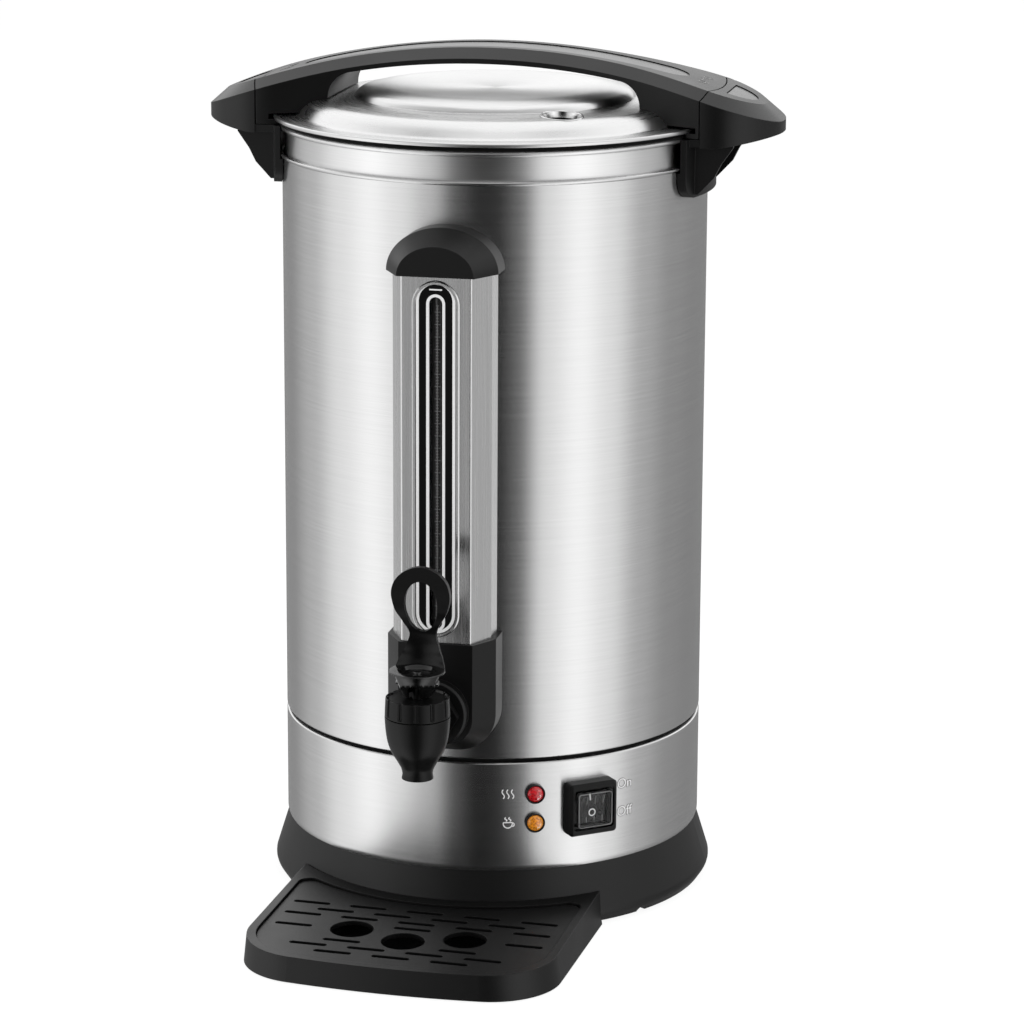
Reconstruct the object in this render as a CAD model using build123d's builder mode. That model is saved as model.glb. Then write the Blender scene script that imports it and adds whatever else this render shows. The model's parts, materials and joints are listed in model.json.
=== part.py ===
from build123d import *
import os
from math import atan, cos, radians, sin

"""Coffee urn with a lift-off locking lid, sight gauge, lever tap and drip tray.

Millimetres, +Z up. The origin is on the urn's axis at the level it stands on.
The tap faces -Y. Azimuths are measured from the front, positive towards +X.
"""

os.makedirs("parts", exist_ok=True)

# ---------------------------------------------------------------- driving dimensions
# Body: a drawn tank inside a brushed double shell, on a moulded base
BODY_R = 110.0            # outside of the brushed shells
SHEET = 0.8               # stainless sheet
SKIN_GAP = 0.3            # between a curved face and the one it sits against
GROOVE_LOW, GROOVE_HIGH = 89.4, 91.4
GROOVE_LIP_R = 106.8      # how far the shells turn in at the groove
GROOVE_BOTTOM_R = 108.1   # face of the black ring seen in the groove
SHELL_TOP = 386.2         # centre of the bead at the upper shell's top edge
SHELL_FOOT = 33.2         # rolled lower edge of the lower shell
TANK_R, TANK_FLOOR = 104.5, 103.0
WELL_R, WELL_DEPTH = 22.0, 5.0
NECK_R = 108.8            # polished band between the shell and the rim
RIM_R, RIM_Z, RIM_BEAD = 111.2, 400.6, 1.3

# Base
BASE_TURN = -2.8          # the base and its tray sit this far round from the tap's line
SKIRT_TOP_R, SKIRT_TOP = 108.6, 33.0
SKIRT_WIDE_R, SKIRT_WIDE_Z = 116.9, 6.5
SKIRT_FOOT_R, SKIRT_FOOT = 113.2, 1.0
NOTCH_R, NOTCH_AZIMUTH = 3.0, 58.0
PLATE_R, PLATE_Z, PLATE_T = 109.8, 6.0, 1.6
BASE_SCREW_RING, BASE_SCREW_R = 106.4, 1.5
FOOT_R, FOOT_RING_R = 10.5, 84.0
TIE_RING_R, TIE_R = 84.0, 2.5

# Lid
VENT_AZIMUTH, VENT_RING_R, VENT_R = 36.0, 82.0, 9.2
VENT_SLOPE = 4.8          # fall of the lid's ring under the vent, in degrees
LID_SCREW_X, LID_SCREW_Y, LID_SCREW_R = 85.0, 15.0, 1.8

# Handle: one long crowned form, cut into the lid's bar and the body's two ears
HANDLE_TOP, HANDLE_ARC_R = 441.5, 400.0
HANDLE_PLAN = ((0, 27), (45, 27.5), (80, 31.5), (104, 37), (122, 38), (138, 29.5), (148, 14.5), (150.5, 0))
BEVEL_ACROSS, BEVEL_DOWN = 10.0, 4.7
ARCH_HALF, ARCH_SIDE_Z, ARCH_TOP_Z, ARCH_CORNER = 81.0, 426.2, 434.3, 13.0
SEAM_R, SEAM_GAP = 118.6, 0.6
EAR_LEDGE, BAR_FOOT = 401.1, 401.5
TONGUE_R, TONGUE_START, TONGUE_SLACK = 123.4, 13.4, 0.6   # lock tongue: reach and first angle
INLAY_DEPTH, INLAY_T = 1.1, 0.6
BAR_INLAY_LONG, BAR_INLAY_WIDE = 202.0, 22.0
EAR_PLATE_R, EAR_PLATE_LOW, EAR_PLATE_HALF = 114.4, 371.0, 41.0
EAR_SCREW_Z, EAR_SCREW_Y, EAR_SCREW_R = 376.0, 14.0, 1.9
EAR_SCREW_END = 113.0     # how far the ears' screws reach out from the urn's axis
EAR_GUSSET_Y, EAR_RELIEF_R = 30.0, 111.6

# Gauge column
COLUMN_FACE, COLUMN_SHOULDER = 134.8, 120.9   # front face and bevel edge, from the axis
COLUMN_HALF, COLUMN_FACE_HALF = 25.1, 17.7
COLUMN_LOW, COLUMN_HIGH = 159.1, 343.9
WINDOW_MID, WINDOW_LONG, WINDOW_WIDE = 252.0, 176.6, 20.6
WINDOW_LIP, WINDOW_PROUD = 1.7, 0.9
SLOT_MID, SLOT_LONG, SLOT_WIDE = 250.2, 170.6, 9.6
TUBE_Y, TUBE_R, TUBE_BORE = 127.1, 4.2, 3.0
ELBOW_LOW, ELBOW_HIGH, ELBOW_R, ELBOW_PIPE_R = 144.0, 351.6, 6.2, 3.4
ELBOW_SOCKET = 7.5        # length of the elbow's socket beyond its pipe's axis
CAP_Z, CAP_HALF, CAP_RISE, CAP_WALL = 344.0, 28.3, 22.0, 2.0
CAP_FACE_HALF, CAP_FACE_RISE, CAP_FACE = 19.4, 15.0, 137.3
BOX_LOW, BOX_HIGH, BOX_HALF, BOX_CORNER = 100.0, 159.0, 27.8, 20.0
BOX_FACE_LOW, BOX_FACE_HALF, BOX_FACE_CORNER, BOX_FACE = 107.5, 19.0, 13.0, 136.0
BOX_WALL, BOSS_R, BOSS_FACE = 2.2, 17.0, 142.0

# Tap
TAP_Y, TAP_Z = 174.0, 124.0      # spout axis from the urn's axis, height of the shank
SPOUT_LOW, SPOUT_R, SPOUT_BORE = 99.0, 8.0, 5.6
SOCKET_R, SOCKET_END = 9.3, 147.2
SHANK_R, SHANK_BORE, SHANK_IN, SHANK_OUT = 7.0, 4.2, 92.0, 153.6
SEAT_Z, CHAMBER_R = 112.0, 11.5
BONNET_R, BONNET_LOW, BONNET_RIM, BONNET_LAND = 16.2, 133.4, 144.5, 146.0
PIN_Z, PIN_R, PIN_HALF = 150.0, 1.5, 10.6
CUP_LOW, CUP_LOW_R = 146.6, 10.4
LEVER_LEAN, LEVER_T = 10.3, 6.4
STEM_R = 2.4

# Controls on the lower shell
SWITCH_AZIMUTH, SWITCH_Z = 38.5, 63.75
SWITCH_WIDE, SWITCH_TALL, SWITCH_FACE_R = 27.0, 27.6, 117.5
ROCKER_TILT, ROCKER_PIVOT_R = 8.0, 111.0
LAMP_AZIMUTH, LAMP_R = 23.5, 5.05
LAMP_HEIGHTS = {"red": 72.9, "amber": 57.5}
INLET_Z, INLET_WIDE, INLET_TALL = 61.0, 27.0, 20.0

# Drip tray, drawn in the base's own turned frame
TRAY_HALF, TRAY_FRONT, TRAY_BOW, TRAY_CORNER = 81.5, 210.4, 7.9, 36.0
TRAY_LOW, TRAY_LOFT_TOP, TRAY_SIDE_DRAFT = 0.6, 20.0, 2.4
TRAY_FRONT_H, TRAY_BACK_H, TRAY_BACK = 14.0, 17.6, 84.0
TRAY_FLOOR, TRAY_BACK_R = 3.0, 117.5
GRATE_SIDE_INSET, GRATE_FRONT_INSET, GRATE_CORNER = 6.2, 4.6, 31.5
GRATE_SINK, GRATE_T, GRATE_BACK_R, GRATE_PLAY = 1.3, 2.4, 121.8, 0.4
LEDGE_WIDE = 3.2
GRATE_SLOT_L, GRATE_SLOT_W, GRATE_FIRST, GRATE_ROW = 19.5, 3.2, 131.4, 7.7
GRATE_ROWS = (
    (-60, -30, 0, 30, 60), (-45, -15, 15, 45), (-60, -30, 0, 30, 60), (0,), (-60, 60), (), (-30, 30),
    (-45, -15, 15, 45), (-30, 0, 30),
)
CUP_HOLES, CUP_HOLE_R = ((-29.5, -161.5), (29.5, -161.5), (0, -171)), 11.0
TONGUE_X, TONGUE_WIDE, TONGUE_LOW, TONGUE_HIGH = 46.0, 12.0, 1.6, 4.6

# Percolator
BASKET_R, BASKET_LOW, BASKET_HIGH = 52.0, 292.0, 352.0
STEM_TUBE_R, STEM_TUBE_TOP = 6.0, 372.0


# ---------------------------------------------------------------- helpers
def save(piece, name):
    """Label a finished sub-part and write it to its own STEP file."""
    piece.part.label = name
    export_step(piece.part, f"parts/{name}.step")


def wall_plane(azimuth, radius, height):
    """A plane that faces outward at an azimuth; its local y is up and x runs to the right."""
    turn = radians(azimuth)
    return Plane(
        origin=(radius * sin(turn), -radius * cos(turn), height),
        x_dir=(cos(turn), sin(turn), 0),
        z_dir=(sin(turn), -cos(turn), 0),
    )


def sheet_ring(points, radii, side=Side.LEFT, thickness=SHEET):
    """Revolve a thin wall, drawn as (radius, height) points, about the urn's axis."""
    with BuildSketch(Plane.XZ) as section:
        with BuildLine():
            FilletPolyline(*points, radius=radii)
            offset(amount=thickness, side=side)
        make_face()
    revolve(section.sketch, axis=Axis.Z)


def turned_form(points, axis=Axis.Z, plane=Plane.XZ, mode=Mode.ADD):
    """Revolve a closed outline of (radius, height) points."""
    with BuildSketch(plane) as section:
        with BuildLine():
            Polyline(*points, close=True)
        make_face()
    revolve(section.sketch, axis=axis, mode=mode)


def round_bar(azimuth, near, far, height, radius, mode=Mode.ADD, shift=0.0):
    """A round bar or hole that runs outward from one radius to another."""
    with BuildSketch(wall_plane(azimuth, near, height)) as section:
        with Locations((shift, 0)):
            Circle(radius)
    extrude(section.sketch, amount=far - near, mode=mode)


def block(azimuth, near, far, height, wide, tall, corner=0.0, mode=Mode.ADD):
    """A rectangular block that runs outward from one radius to another."""
    with BuildSketch(wall_plane(azimuth, near, height)) as section:
        if corner:
            RectangleRounded(wide, tall, corner)
        else:
            Rectangle(wide, tall)
    extrude(section.sketch, amount=far - near, mode=mode)


def ring(outer, inner, low, high, mode=Mode.ADD, centre=(0, 0)):
    """An upright ring or disc."""
    with BuildSketch(Plane.XY.offset(low)) as section:
        with Locations(centre):
            Circle(outer)
            if inner:
                Circle(inner, mode=Mode.SUBTRACT)
    extrude(section.sketch, amount=high - low, mode=mode)


def base_plane(height):
    """A horizontal plane in the base's turned frame."""
    turn = radians(BASE_TURN)
    return Plane(origin=(0, 0, height), x_dir=(cos(turn), sin(turn), 0), z_dir=(0, 0, 1))


def polar_point(azimuth, radius):
    """The plan position at an azimuth and radius."""
    turn = radians(azimuth)
    return (radius * sin(turn), -radius * cos(turn))


# ---------------------------------------------------------------- tank and shells
with BuildPart() as inner_tank:
    sheet_ring(
        (
            (0, TANK_FLOOR - WELL_DEPTH),
            (WELL_R, TANK_FLOOR - WELL_DEPTH),
            (WELL_R + 4, TANK_FLOOR),
            (TANK_R, TANK_FLOOR),
            (TANK_R, SHELL_TOP - 9),
            (NECK_R, SHELL_TOP - 1),
            (NECK_R, RIM_Z),
        ),
        radii=(3, 3, 8, 6, 4),
    )
    with BuildSketch(Plane.XZ):
        with Locations((RIM_R - RIM_BEAD, RIM_Z)):
            Circle(RIM_BEAD)
    revolve(axis=Axis.Z)
    round_bar(0, TANK_R - 6, TANK_R + 4, TAP_Z, SHANK_R + SKIN_GAP, Mode.SUBTRACT)
    for elbow_z in (ELBOW_LOW, ELBOW_HIGH):
        round_bar(0, TANK_R - 6, TANK_R + 4, elbow_z, ELBOW_PIPE_R + SKIN_GAP, Mode.SUBTRACT)
save(inner_tank, "inner_tank")

with BuildPart() as outer_shell:
    sheet_ring(
        ((GROOVE_LIP_R, GROOVE_HIGH), (BODY_R, GROOVE_HIGH), (BODY_R, SHELL_TOP)),
        radii=1.2,
    )
    with BuildSketch(Plane.XZ):
        with Locations((BODY_R + 0.2, SHELL_TOP)):
            Circle(1.1)
    revolve(axis=Axis.Z)
    for side_azimuth in (90, -90):
        for shift in (-EAR_SCREW_Y, EAR_SCREW_Y):
            round_bar(side_azimuth, 100, 115, EAR_SCREW_Z, EAR_SCREW_R + SKIN_GAP, Mode.SUBTRACT, shift)
    round_bar(0, BODY_R - 6, BODY_R + 4, TAP_Z, SHANK_R + SKIN_GAP, Mode.SUBTRACT)
    for elbow_z in (ELBOW_LOW, ELBOW_HIGH):
        round_bar(0, BODY_R - 6, BODY_R + 4, elbow_z, ELBOW_PIPE_R + SKIN_GAP, Mode.SUBTRACT)
save(outer_shell, "outer_shell")

with BuildPart() as seam_ring:
    turned_form(
        (
            (104.9, 83.0), (106.4, 83.0), (106.4, GROOVE_LOW + 0.05),
            (GROOVE_BOTTOM_R, GROOVE_LOW + 0.05), (GROOVE_BOTTOM_R, GROOVE_HIGH - 0.05),
            (106.4, GROOVE_HIGH - 0.05), (106.4, 98.0), (104.9, 98.0),
        )
    )
save(seam_ring, "seam_ring")

with BuildPart() as lower_shell:
    sheet_ring(
        (
            (GROOVE_LIP_R, GROOVE_LOW),
            (BODY_R, GROOVE_LOW),
            (BODY_R, SHELL_FOOT + 3.6),
            (SKIRT_TOP_R - 0.1, SHELL_FOOT),
        ),
        radii=(1.2, 2.5),
        side=Side.RIGHT,
    )
    block(
        SWITCH_AZIMUTH, BODY_R - 8, BODY_R + 8, SWITCH_Z, SWITCH_WIDE - 4, SWITCH_TALL - 4,
        corner=0.8, mode=Mode.SUBTRACT,
    )
    for lamp_z in LAMP_HEIGHTS.values():
        round_bar(LAMP_AZIMUTH, BODY_R - 8, BODY_R + 8, lamp_z, LAMP_R - 0.85, Mode.SUBTRACT)
    block(180, BODY_R - 8, BODY_R + 8, INLET_Z, INLET_WIDE + 0.6, INLET_TALL + 0.6, 2.0, Mode.SUBTRACT)
save(lower_shell, "lower_shell")

# ---------------------------------------------------------------- base
with BuildPart() as base_skirt:
    with BuildSketch(Plane.XZ) as skirt_section:
        with BuildLine():
            Polyline(
                (107.2, 42.0), (107.2, SKIRT_TOP), (SKIRT_TOP_R, SKIRT_TOP),
                (SKIRT_WIDE_R, SKIRT_WIDE_Z), (SKIRT_FOOT_R, SKIRT_FOOT), (110.2, SKIRT_FOOT),
                (110.2, PLATE_Z + PLATE_T + 0.1), (104.5, PLATE_Z + PLATE_T + 0.1),
                (104.5, 10.3), (112.2, 10.3), (105.2, SKIRT_TOP), (105.2, 42.0),
                close=True,
            )
        make_face()
        fillet(skirt_section.vertices().sort_by(Axis.X)[-1], radius=5.0)
    revolve(axis=Axis.Z)
    # bosses for the base plate's screws
    with BuildSketch(base_plane(PLATE_Z + PLATE_T + 0.1)):
        with PolarLocations(BASE_SCREW_RING, 4):
            Circle(3.6)
    extrude(amount=11)
    with BuildSketch(base_plane(PLATE_Z)):
        with PolarLocations(BASE_SCREW_RING, 4):
            Circle(BASE_SCREW_R + 0.1)
    extrude(amount=11, mode=Mode.SUBTRACT)
    for side in (-1, 1):
        round_bar(side * NOTCH_AZIMUTH + BASE_TURN, 104, 122, SKIRT_FOOT, NOTCH_R, Mode.SUBTRACT)
    # slots that take the tray's tongues
    with BuildSketch(base_plane(SKIRT_FOOT - 1)):
        with Locations((-TONGUE_X, -108), (TONGUE_X, -108)):
            Rectangle(TONGUE_WIDE + 4, 30)
    extrude(amount=TONGUE_HIGH + 1.0, mode=Mode.SUBTRACT)
save(base_skirt, "base_skirt")

with BuildPart() as base_plate:
    with BuildSketch(base_plane(PLATE_Z)):
        Circle(PLATE_R)
        with PolarLocations(BASE_SCREW_RING, 4):
            Circle(BASE_SCREW_R + 0.3, mode=Mode.SUBTRACT)
        with PolarLocations(FOOT_RING_R, 4, start_angle=45):
            Circle(3.2, mode=Mode.SUBTRACT)
        with PolarLocations(TIE_RING_R, 3):
            Circle(TIE_R + 0.3, mode=Mode.SUBTRACT)
        for vent_ring in (34, 46, 58):
            with PolarLocations(vent_ring, 6, start_angle=15):
                SlotOverall(15, 3.0, rotation=90, mode=Mode.SUBTRACT)
    extrude(amount=PLATE_T)
save(base_plate, "base_plate")

with BuildPart() as base_screws:
    with BuildSketch(base_plane(PLATE_Z - 1.9)):
        with PolarLocations(BASE_SCREW_RING, 4):
            Circle(2.8)
    extrude(amount=1.85)
    with BuildSketch(base_plane(PLATE_Z - 0.2)):
        with PolarLocations(BASE_SCREW_RING, 4):
            Circle(BASE_SCREW_R)
    extrude(amount=9.5)
    with BuildSketch(base_plane(PLATE_Z - 2.0)):
        with PolarLocations(BASE_SCREW_RING, 4):
            Rectangle(3.6, 0.8)
            Rectangle(0.8, 3.6)
    extrude(amount=1.2, mode=Mode.SUBTRACT)
save(base_screws, "base_screws")

for number in range(4):
    foot_centre = polar_point(45 + 90 * number + BASE_TURN, FOOT_RING_R)
    with BuildPart() as foot:
        with Locations((*foot_centre, 0)):
            Cone(FOOT_R - 0.8, FOOT_R, PLATE_Z - 0.05, align=(Align.CENTER, Align.CENTER, Align.MIN))
            Cylinder(2.9, 9.0, align=(Align.CENTER, Align.CENTER, Align.MIN))
        with Locations((*foot_centre, PLATE_Z + PLATE_T + 0.1)):
            Cone(4.2, 2.4, 2.6, align=(Align.CENTER, Align.CENTER, Align.MIN))
        fillet(foot.edges().group_by(Axis.Z)[0], radius=0.8)
    save(foot, f"foot_{number + 1}")

with BuildPart() as tie_bolts:
    with BuildSketch(base_plane(PLATE_Z - 3.6)):
        with PolarLocations(TIE_RING_R, 3):
            RegularPolygon(4.4, 6)
    extrude(amount=3.5)
    with BuildSketch(base_plane(PLATE_Z - 0.2)):
        with PolarLocations(TIE_RING_R, 3):
            Circle(TIE_R)
    extrude(amount=TANK_FLOOR - PLATE_Z - 1)
    with BuildSketch(base_plane(TANK_FLOOR - 9)):
        with PolarLocations(TIE_RING_R, 3):
            Circle(5.0)
    extrude(amount=8.9)
save(tie_bolts, "tie_bolts")

# ---------------------------------------------------------------- heater under the tank
with BuildPart() as heater_plate:
    ring(72, 29, TANK_FLOOR - 3.1, TANK_FLOOR - 0.1)
    ring(58, 46, TANK_FLOOR - 4.6, TANK_FLOOR - 3)
save(heater_plate, "heater_plate")

with BuildPart() as heater_element:
    with BuildLine() as element_path:
        CenterArc((0, 0, TANK_FLOOR - 8.6), 52, 110, 320)
    with BuildSketch(Plane(origin=element_path.line @ 0, z_dir=element_path.line % 0)):
        Circle(3.8)
    sweep()
    for end_angle in (110, 70):
        terminal = (52 * cos(radians(end_angle)), 52 * sin(radians(end_angle)), TANK_FLOOR - 22)
        with Locations(terminal):
            Cylinder(2.6, 13.6, align=(Align.CENTER, Align.CENTER, Align.MIN))
save(heater_element, "heater_element")

for number, disc_x in enumerate((-37.0, 37.0)):
    with BuildPart() as thermostat:
        with Locations((disc_x, 0, TANK_FLOOR - 12.5)):
            Cylinder(8, 9.3, align=(Align.CENTER, Align.CENTER, Align.MIN))
        with Locations((disc_x - 4, 0, TANK_FLOOR - 20), (disc_x + 4, 0, TANK_FLOOR - 20)):
            Box(0.8, 5, 8, align=(Align.CENTER, Align.CENTER, Align.MIN))
    save(thermostat, f"thermostat_{number + 1}")

# ---------------------------------------------------------------- power inlet at the back
with BuildPart() as power_inlet:
    block(180, 104, 113, INLET_Z, INLET_WIDE + 6, INLET_TALL + 6, 3.0)
    chamfer(power_inlet.faces().sort_by(Axis.Y)[-1].edges(), length=1.0)
    ring(BODY_R + SKIN_GAP, 0, 40, 85, Mode.SUBTRACT)
    block(180, 93, 112.5, INLET_Z, INLET_WIDE, INLET_TALL, 1.6)
    with BuildSketch(wall_plane(180, 96, INLET_Z)) as inlet_mouth:
        Rectangle(24, 16.6)
        chamfer(inlet_mouth.vertices().group_by(Axis.Y)[-1], length=3.4)
    extrude(amount=20, mode=Mode.SUBTRACT)
save(power_inlet, "power_inlet")

with BuildPart() as inlet_pins:
    with BuildSketch(wall_plane(180, 96.05, INLET_Z)):
        with Locations((-7.0, -2.0), (0, 2.0), (7.0, -2.0)):
            Rectangle(2, 4)
    extrude(amount=11)
    chamfer(inlet_pins.faces().group_by(Axis.Y)[-1].edges(), length=0.5)
save(inlet_pins, "inlet_pins")

# ---------------------------------------------------------------- switch
SWITCH_OUT = wall_plane(SWITCH_AZIMUTH, 0, 0).z_dir
rocker_plane = wall_plane(SWITCH_AZIMUTH, ROCKER_PIVOT_R, SWITCH_Z)

with BuildPart() as switch_frame:
    block(SWITCH_AZIMUTH, 105, SWITCH_FACE_R, SWITCH_Z, SWITCH_WIDE, SWITCH_TALL, 2.0)
    chamfer(switch_frame.faces().sort_by(Axis((0, 0, 0), SWITCH_OUT))[-1].edges(), length=1.4)
    ring(BODY_R + SKIN_GAP, 0, 40, 90, Mode.SUBTRACT)
    block(SWITCH_AZIMUTH, 99, 116, SWITCH_Z, SWITCH_WIDE - 4.6, SWITCH_TALL - 4.6, 0.5)
    block(SWITCH_AZIMUTH, 114.4, 119, SWITCH_Z, 23.0, 21.4, 2.0, Mode.SUBTRACT)
    block(SWITCH_AZIMUTH, 101, 119, SWITCH_Z, 17.8, 18.2, 0, Mode.SUBTRACT)
    # pivot holes for the rocker's stubs
    with BuildSketch(Plane(origin=rocker_plane.origin, z_dir=rocker_plane.x_dir)):
        Circle(1.8)
    extrude(amount=10.1, both=True, mode=Mode.SUBTRACT)
save(switch_frame, "switch_frame")

with BuildPart() as switch_cover:
    block(SWITCH_AZIMUTH, 115.0, 118.9, SWITCH_Z, 21.0, 19.8, 1.6)
    fillet(switch_cover.faces().sort_by(Axis((0, 0, 0), SWITCH_OUT))[-1].edges(), radius=1.5)
    block(SWITCH_AZIMUTH, 114.45, 115.4, SWITCH_Z, 22.4, 20.8, 1.8)
    block(SWITCH_AZIMUTH, 114, 118.1, SWITCH_Z, 19.4, 18.4, 0.9, Mode.SUBTRACT)
save(switch_cover, "switch_cover")

with BuildPart() as switch_rocker:
    # side profile: local x is outward and local y is up
    with BuildSketch(Plane(origin=rocker_plane.origin, x_dir=rocker_plane.z_dir, z_dir=-rocker_plane.x_dir)):
        with BuildLine():
            Polyline(
                (-5, -5.5), (-5, 5.5), (-1, 8.3), (3.0, 8.3), (1.9, 0), (3.0, -8.3), (-1, -8.3), close=True
            )
        make_face()
    extrude(amount=8.4, both=True)
    with BuildSketch(Plane(origin=rocker_plane.origin, z_dir=rocker_plane.x_dir)):
        Circle(1.5)
    extrude(amount=9.9, both=True)
switch_rocker.part = switch_rocker.part.rotate(Axis(rocker_plane.origin, rocker_plane.x_dir), ROCKER_TILT)
save(switch_rocker, "switch_rocker")

# ---------------------------------------------------------------- pilot lamps
LAMP_OUT = Axis((0, 0, 0), wall_plane(LAMP_AZIMUTH, 0, 0).z_dir)
for colour, lamp_z in LAMP_HEIGHTS.items():
    with BuildPart() as lamp_holder:
        round_bar(LAMP_AZIMUTH, 106, 112.2, lamp_z, LAMP_R)
        ring(BODY_R + SKIN_GAP, 0, 40, 90, Mode.SUBTRACT)
        round_bar(LAMP_AZIMUTH, 97, 111.5, lamp_z, 3.85)
        round_bar(LAMP_AZIMUTH, 96, 113, lamp_z, 3.2, Mode.SUBTRACT)
        round_bar(LAMP_AZIMUTH, 111.0, 113, lamp_z, 4.4, Mode.SUBTRACT)
    save(lamp_holder, f"lamp_holder_{colour}")
    with BuildPart() as lamp_lens:
        round_bar(LAMP_AZIMUTH, 111.05, 112.9, lamp_z, 4.1)
        fillet(lamp_lens.faces().sort_by(LAMP_OUT)[-1].edges(), radius=1.3)
        round_bar(LAMP_AZIMUTH, 99, 111.3, lamp_z, 2.9)
    save(lamp_lens, f"lamp_{colour}")

# ---------------------------------------------------------------- gauge column
with BuildPart() as column_cover:
    with BuildSketch(Plane.XY.offset(COLUMN_LOW)):
        with BuildLine():
            FilletPolyline(
                (-COLUMN_HALF, -100), (-COLUMN_HALF, -COLUMN_SHOULDER), (-COLUMN_FACE_HALF, -COLUMN_FACE),
                (COLUMN_FACE_HALF, -COLUMN_FACE), (COLUMN_HALF, -COLUMN_SHOULDER), (COLUMN_HALF, -100),
                radius=1.2,
            )
            offset(amount=SHEET, side=Side.LEFT)
        make_face()
    extrude(amount=COLUMN_HIGH - COLUMN_LOW)
    with BuildSketch(wall_plane(0, COLUMN_FACE - 0.2, WINDOW_MID)):
        SlotOverall(WINDOW_LONG + 2 * WINDOW_LIP, WINDOW_WIDE + 2 * WINDOW_LIP, rotation=90)
    extrude(amount=WINDOW_PROUD + 0.2)
    chamfer(column_cover.faces().sort_by(Axis.Y)[0].outer_wire().edges(), length=0.6)
    with BuildSketch(wall_plane(0, COLUMN_FACE - 4, WINDOW_MID)):
        SlotOverall(WINDOW_LONG, WINDOW_WIDE, rotation=90)
    extrude(amount=8, mode=Mode.SUBTRACT)
    ring(BODY_R + SKIN_GAP, 0, 100, 360, Mode.SUBTRACT)
save(column_cover, "column_cover")


def arch_plan(half, rise):
    """A half ellipse standing on its flat side."""
    with BuildSketch() as plan:
        Ellipse(half, rise)
        Rectangle(4 * half, 4 * rise, align=(Align.CENTER, Align.MAX), mode=Mode.SUBTRACT)
    return plan.sketch


with BuildPart() as column_top_cap:
    with BuildSketch(wall_plane(0, 100, CAP_Z)):
        add(arch_plan(CAP_HALF, CAP_RISE))
    extrude(amount=COLUMN_SHOULDER + 0.6 - 100)
    with BuildSketch(wall_plane(0, COLUMN_SHOULDER + 0.6, CAP_Z)):
        add(arch_plan(CAP_HALF, CAP_RISE))
    with BuildSketch(wall_plane(0, CAP_FACE, CAP_Z)):
        add(arch_plan(CAP_FACE_HALF, CAP_FACE_RISE))
    loft()
    with BuildSketch(wall_plane(0, 99, CAP_Z)):
        add(arch_plan(CAP_HALF - CAP_WALL, CAP_RISE - CAP_WALL))
    extrude(amount=COLUMN_SHOULDER - 99, mode=Mode.SUBTRACT)
    with BuildSketch(wall_plane(0, COLUMN_SHOULDER - 0.2, CAP_Z)):
        add(arch_plan(CAP_HALF - CAP_WALL, CAP_RISE - CAP_WALL))
    with BuildSketch(wall_plane(0, CAP_FACE - CAP_WALL, CAP_Z)):
        add(arch_plan(CAP_FACE_HALF - CAP_WALL, CAP_FACE_RISE - CAP_WALL))
    loft(mode=Mode.SUBTRACT)
    ring(BODY_R + SKIN_GAP, 0, 330, 380, Mode.SUBTRACT)
save(column_top_cap, "column_top_cap")


def box_plan(half, low, high, corner):
    """The tap box's outline seen from the front, rounded at its lower corners."""
    with BuildSketch() as plan:
        with Locations((0, low)):
            Rectangle(2 * half, high - low, align=(Align.CENTER, Align.MIN))
        fillet(plan.vertices().group_by(Axis.Y)[0], radius=corner)
    return plan.sketch


with BuildPart() as tap_box:
    outer_back = box_plan(BOX_HALF, BOX_LOW, BOX_HIGH, BOX_CORNER)
    hollow_back = box_plan(
        BOX_HALF - BOX_WALL, BOX_LOW + BOX_WALL, BOX_HIGH - BOX_WALL, BOX_CORNER - BOX_WALL
    )
    with BuildSketch(wall_plane(0, 100, 0)):
        add(outer_back)
    extrude(amount=COLUMN_SHOULDER + 0.6 - 100)
    with BuildSketch(wall_plane(0, COLUMN_SHOULDER + 0.6, 0)):
        add(outer_back)
    with BuildSketch(wall_plane(0, BOX_FACE, 0)):
        add(box_plan(BOX_FACE_HALF, BOX_FACE_LOW, BOX_HIGH, BOX_FACE_CORNER))
    loft()
    with BuildSketch(wall_plane(0, 99, 0)):
        add(hollow_back)
    extrude(amount=COLUMN_SHOULDER - 99, mode=Mode.SUBTRACT)
    with BuildSketch(wall_plane(0, COLUMN_SHOULDER - 0.2, 0)):
        add(hollow_back)
    with BuildSketch(wall_plane(0, BOX_FACE - BOX_WALL, 0)):
        add(
            box_plan(
                BOX_FACE_HALF - BOX_WALL, BOX_FACE_LOW + BOX_WALL,
                BOX_HIGH - BOX_WALL, BOX_FACE_CORNER - BOX_WALL,
            )
        )
    loft(mode=Mode.SUBTRACT)
    round_bar(0, BOX_FACE - BOX_WALL, BOSS_FACE, TAP_Z, BOSS_R)
    chamfer(tap_box.faces().sort_by(Axis.Y)[0].edges(), length=1.0)
    round_bar(0, 100, 150, TAP_Z, SHANK_R + SKIN_GAP, Mode.SUBTRACT)
    ring(TUBE_R + 1.4, 0, BOX_HIGH - 8, BOX_HIGH + 2, Mode.SUBTRACT, (0, -TUBE_Y))
    ring(BODY_R + SKIN_GAP, 0, 90, 170, Mode.SUBTRACT)
save(tap_box, "tap_box")

with BuildPart() as gauge_frame:
    block(0, COLUMN_FACE - 3.0, COLUMN_FACE - SHEET - 0.1, WINDOW_MID, 28, 181)
    with BuildSketch(wall_plane(0, COLUMN_FACE - 2.0, WINDOW_MID)):
        SlotOverall(WINDOW_LONG - 0.5, WINDOW_WIDE - 0.5, rotation=90)
    extrude(amount=2.4)
    with BuildSketch(wall_plane(0, COLUMN_FACE - 5, SLOT_MID)):
        SlotOverall(SLOT_LONG, SLOT_WIDE, rotation=90)
    extrude(amount=9, mode=Mode.SUBTRACT)
save(gauge_frame, "gauge_frame")

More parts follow.
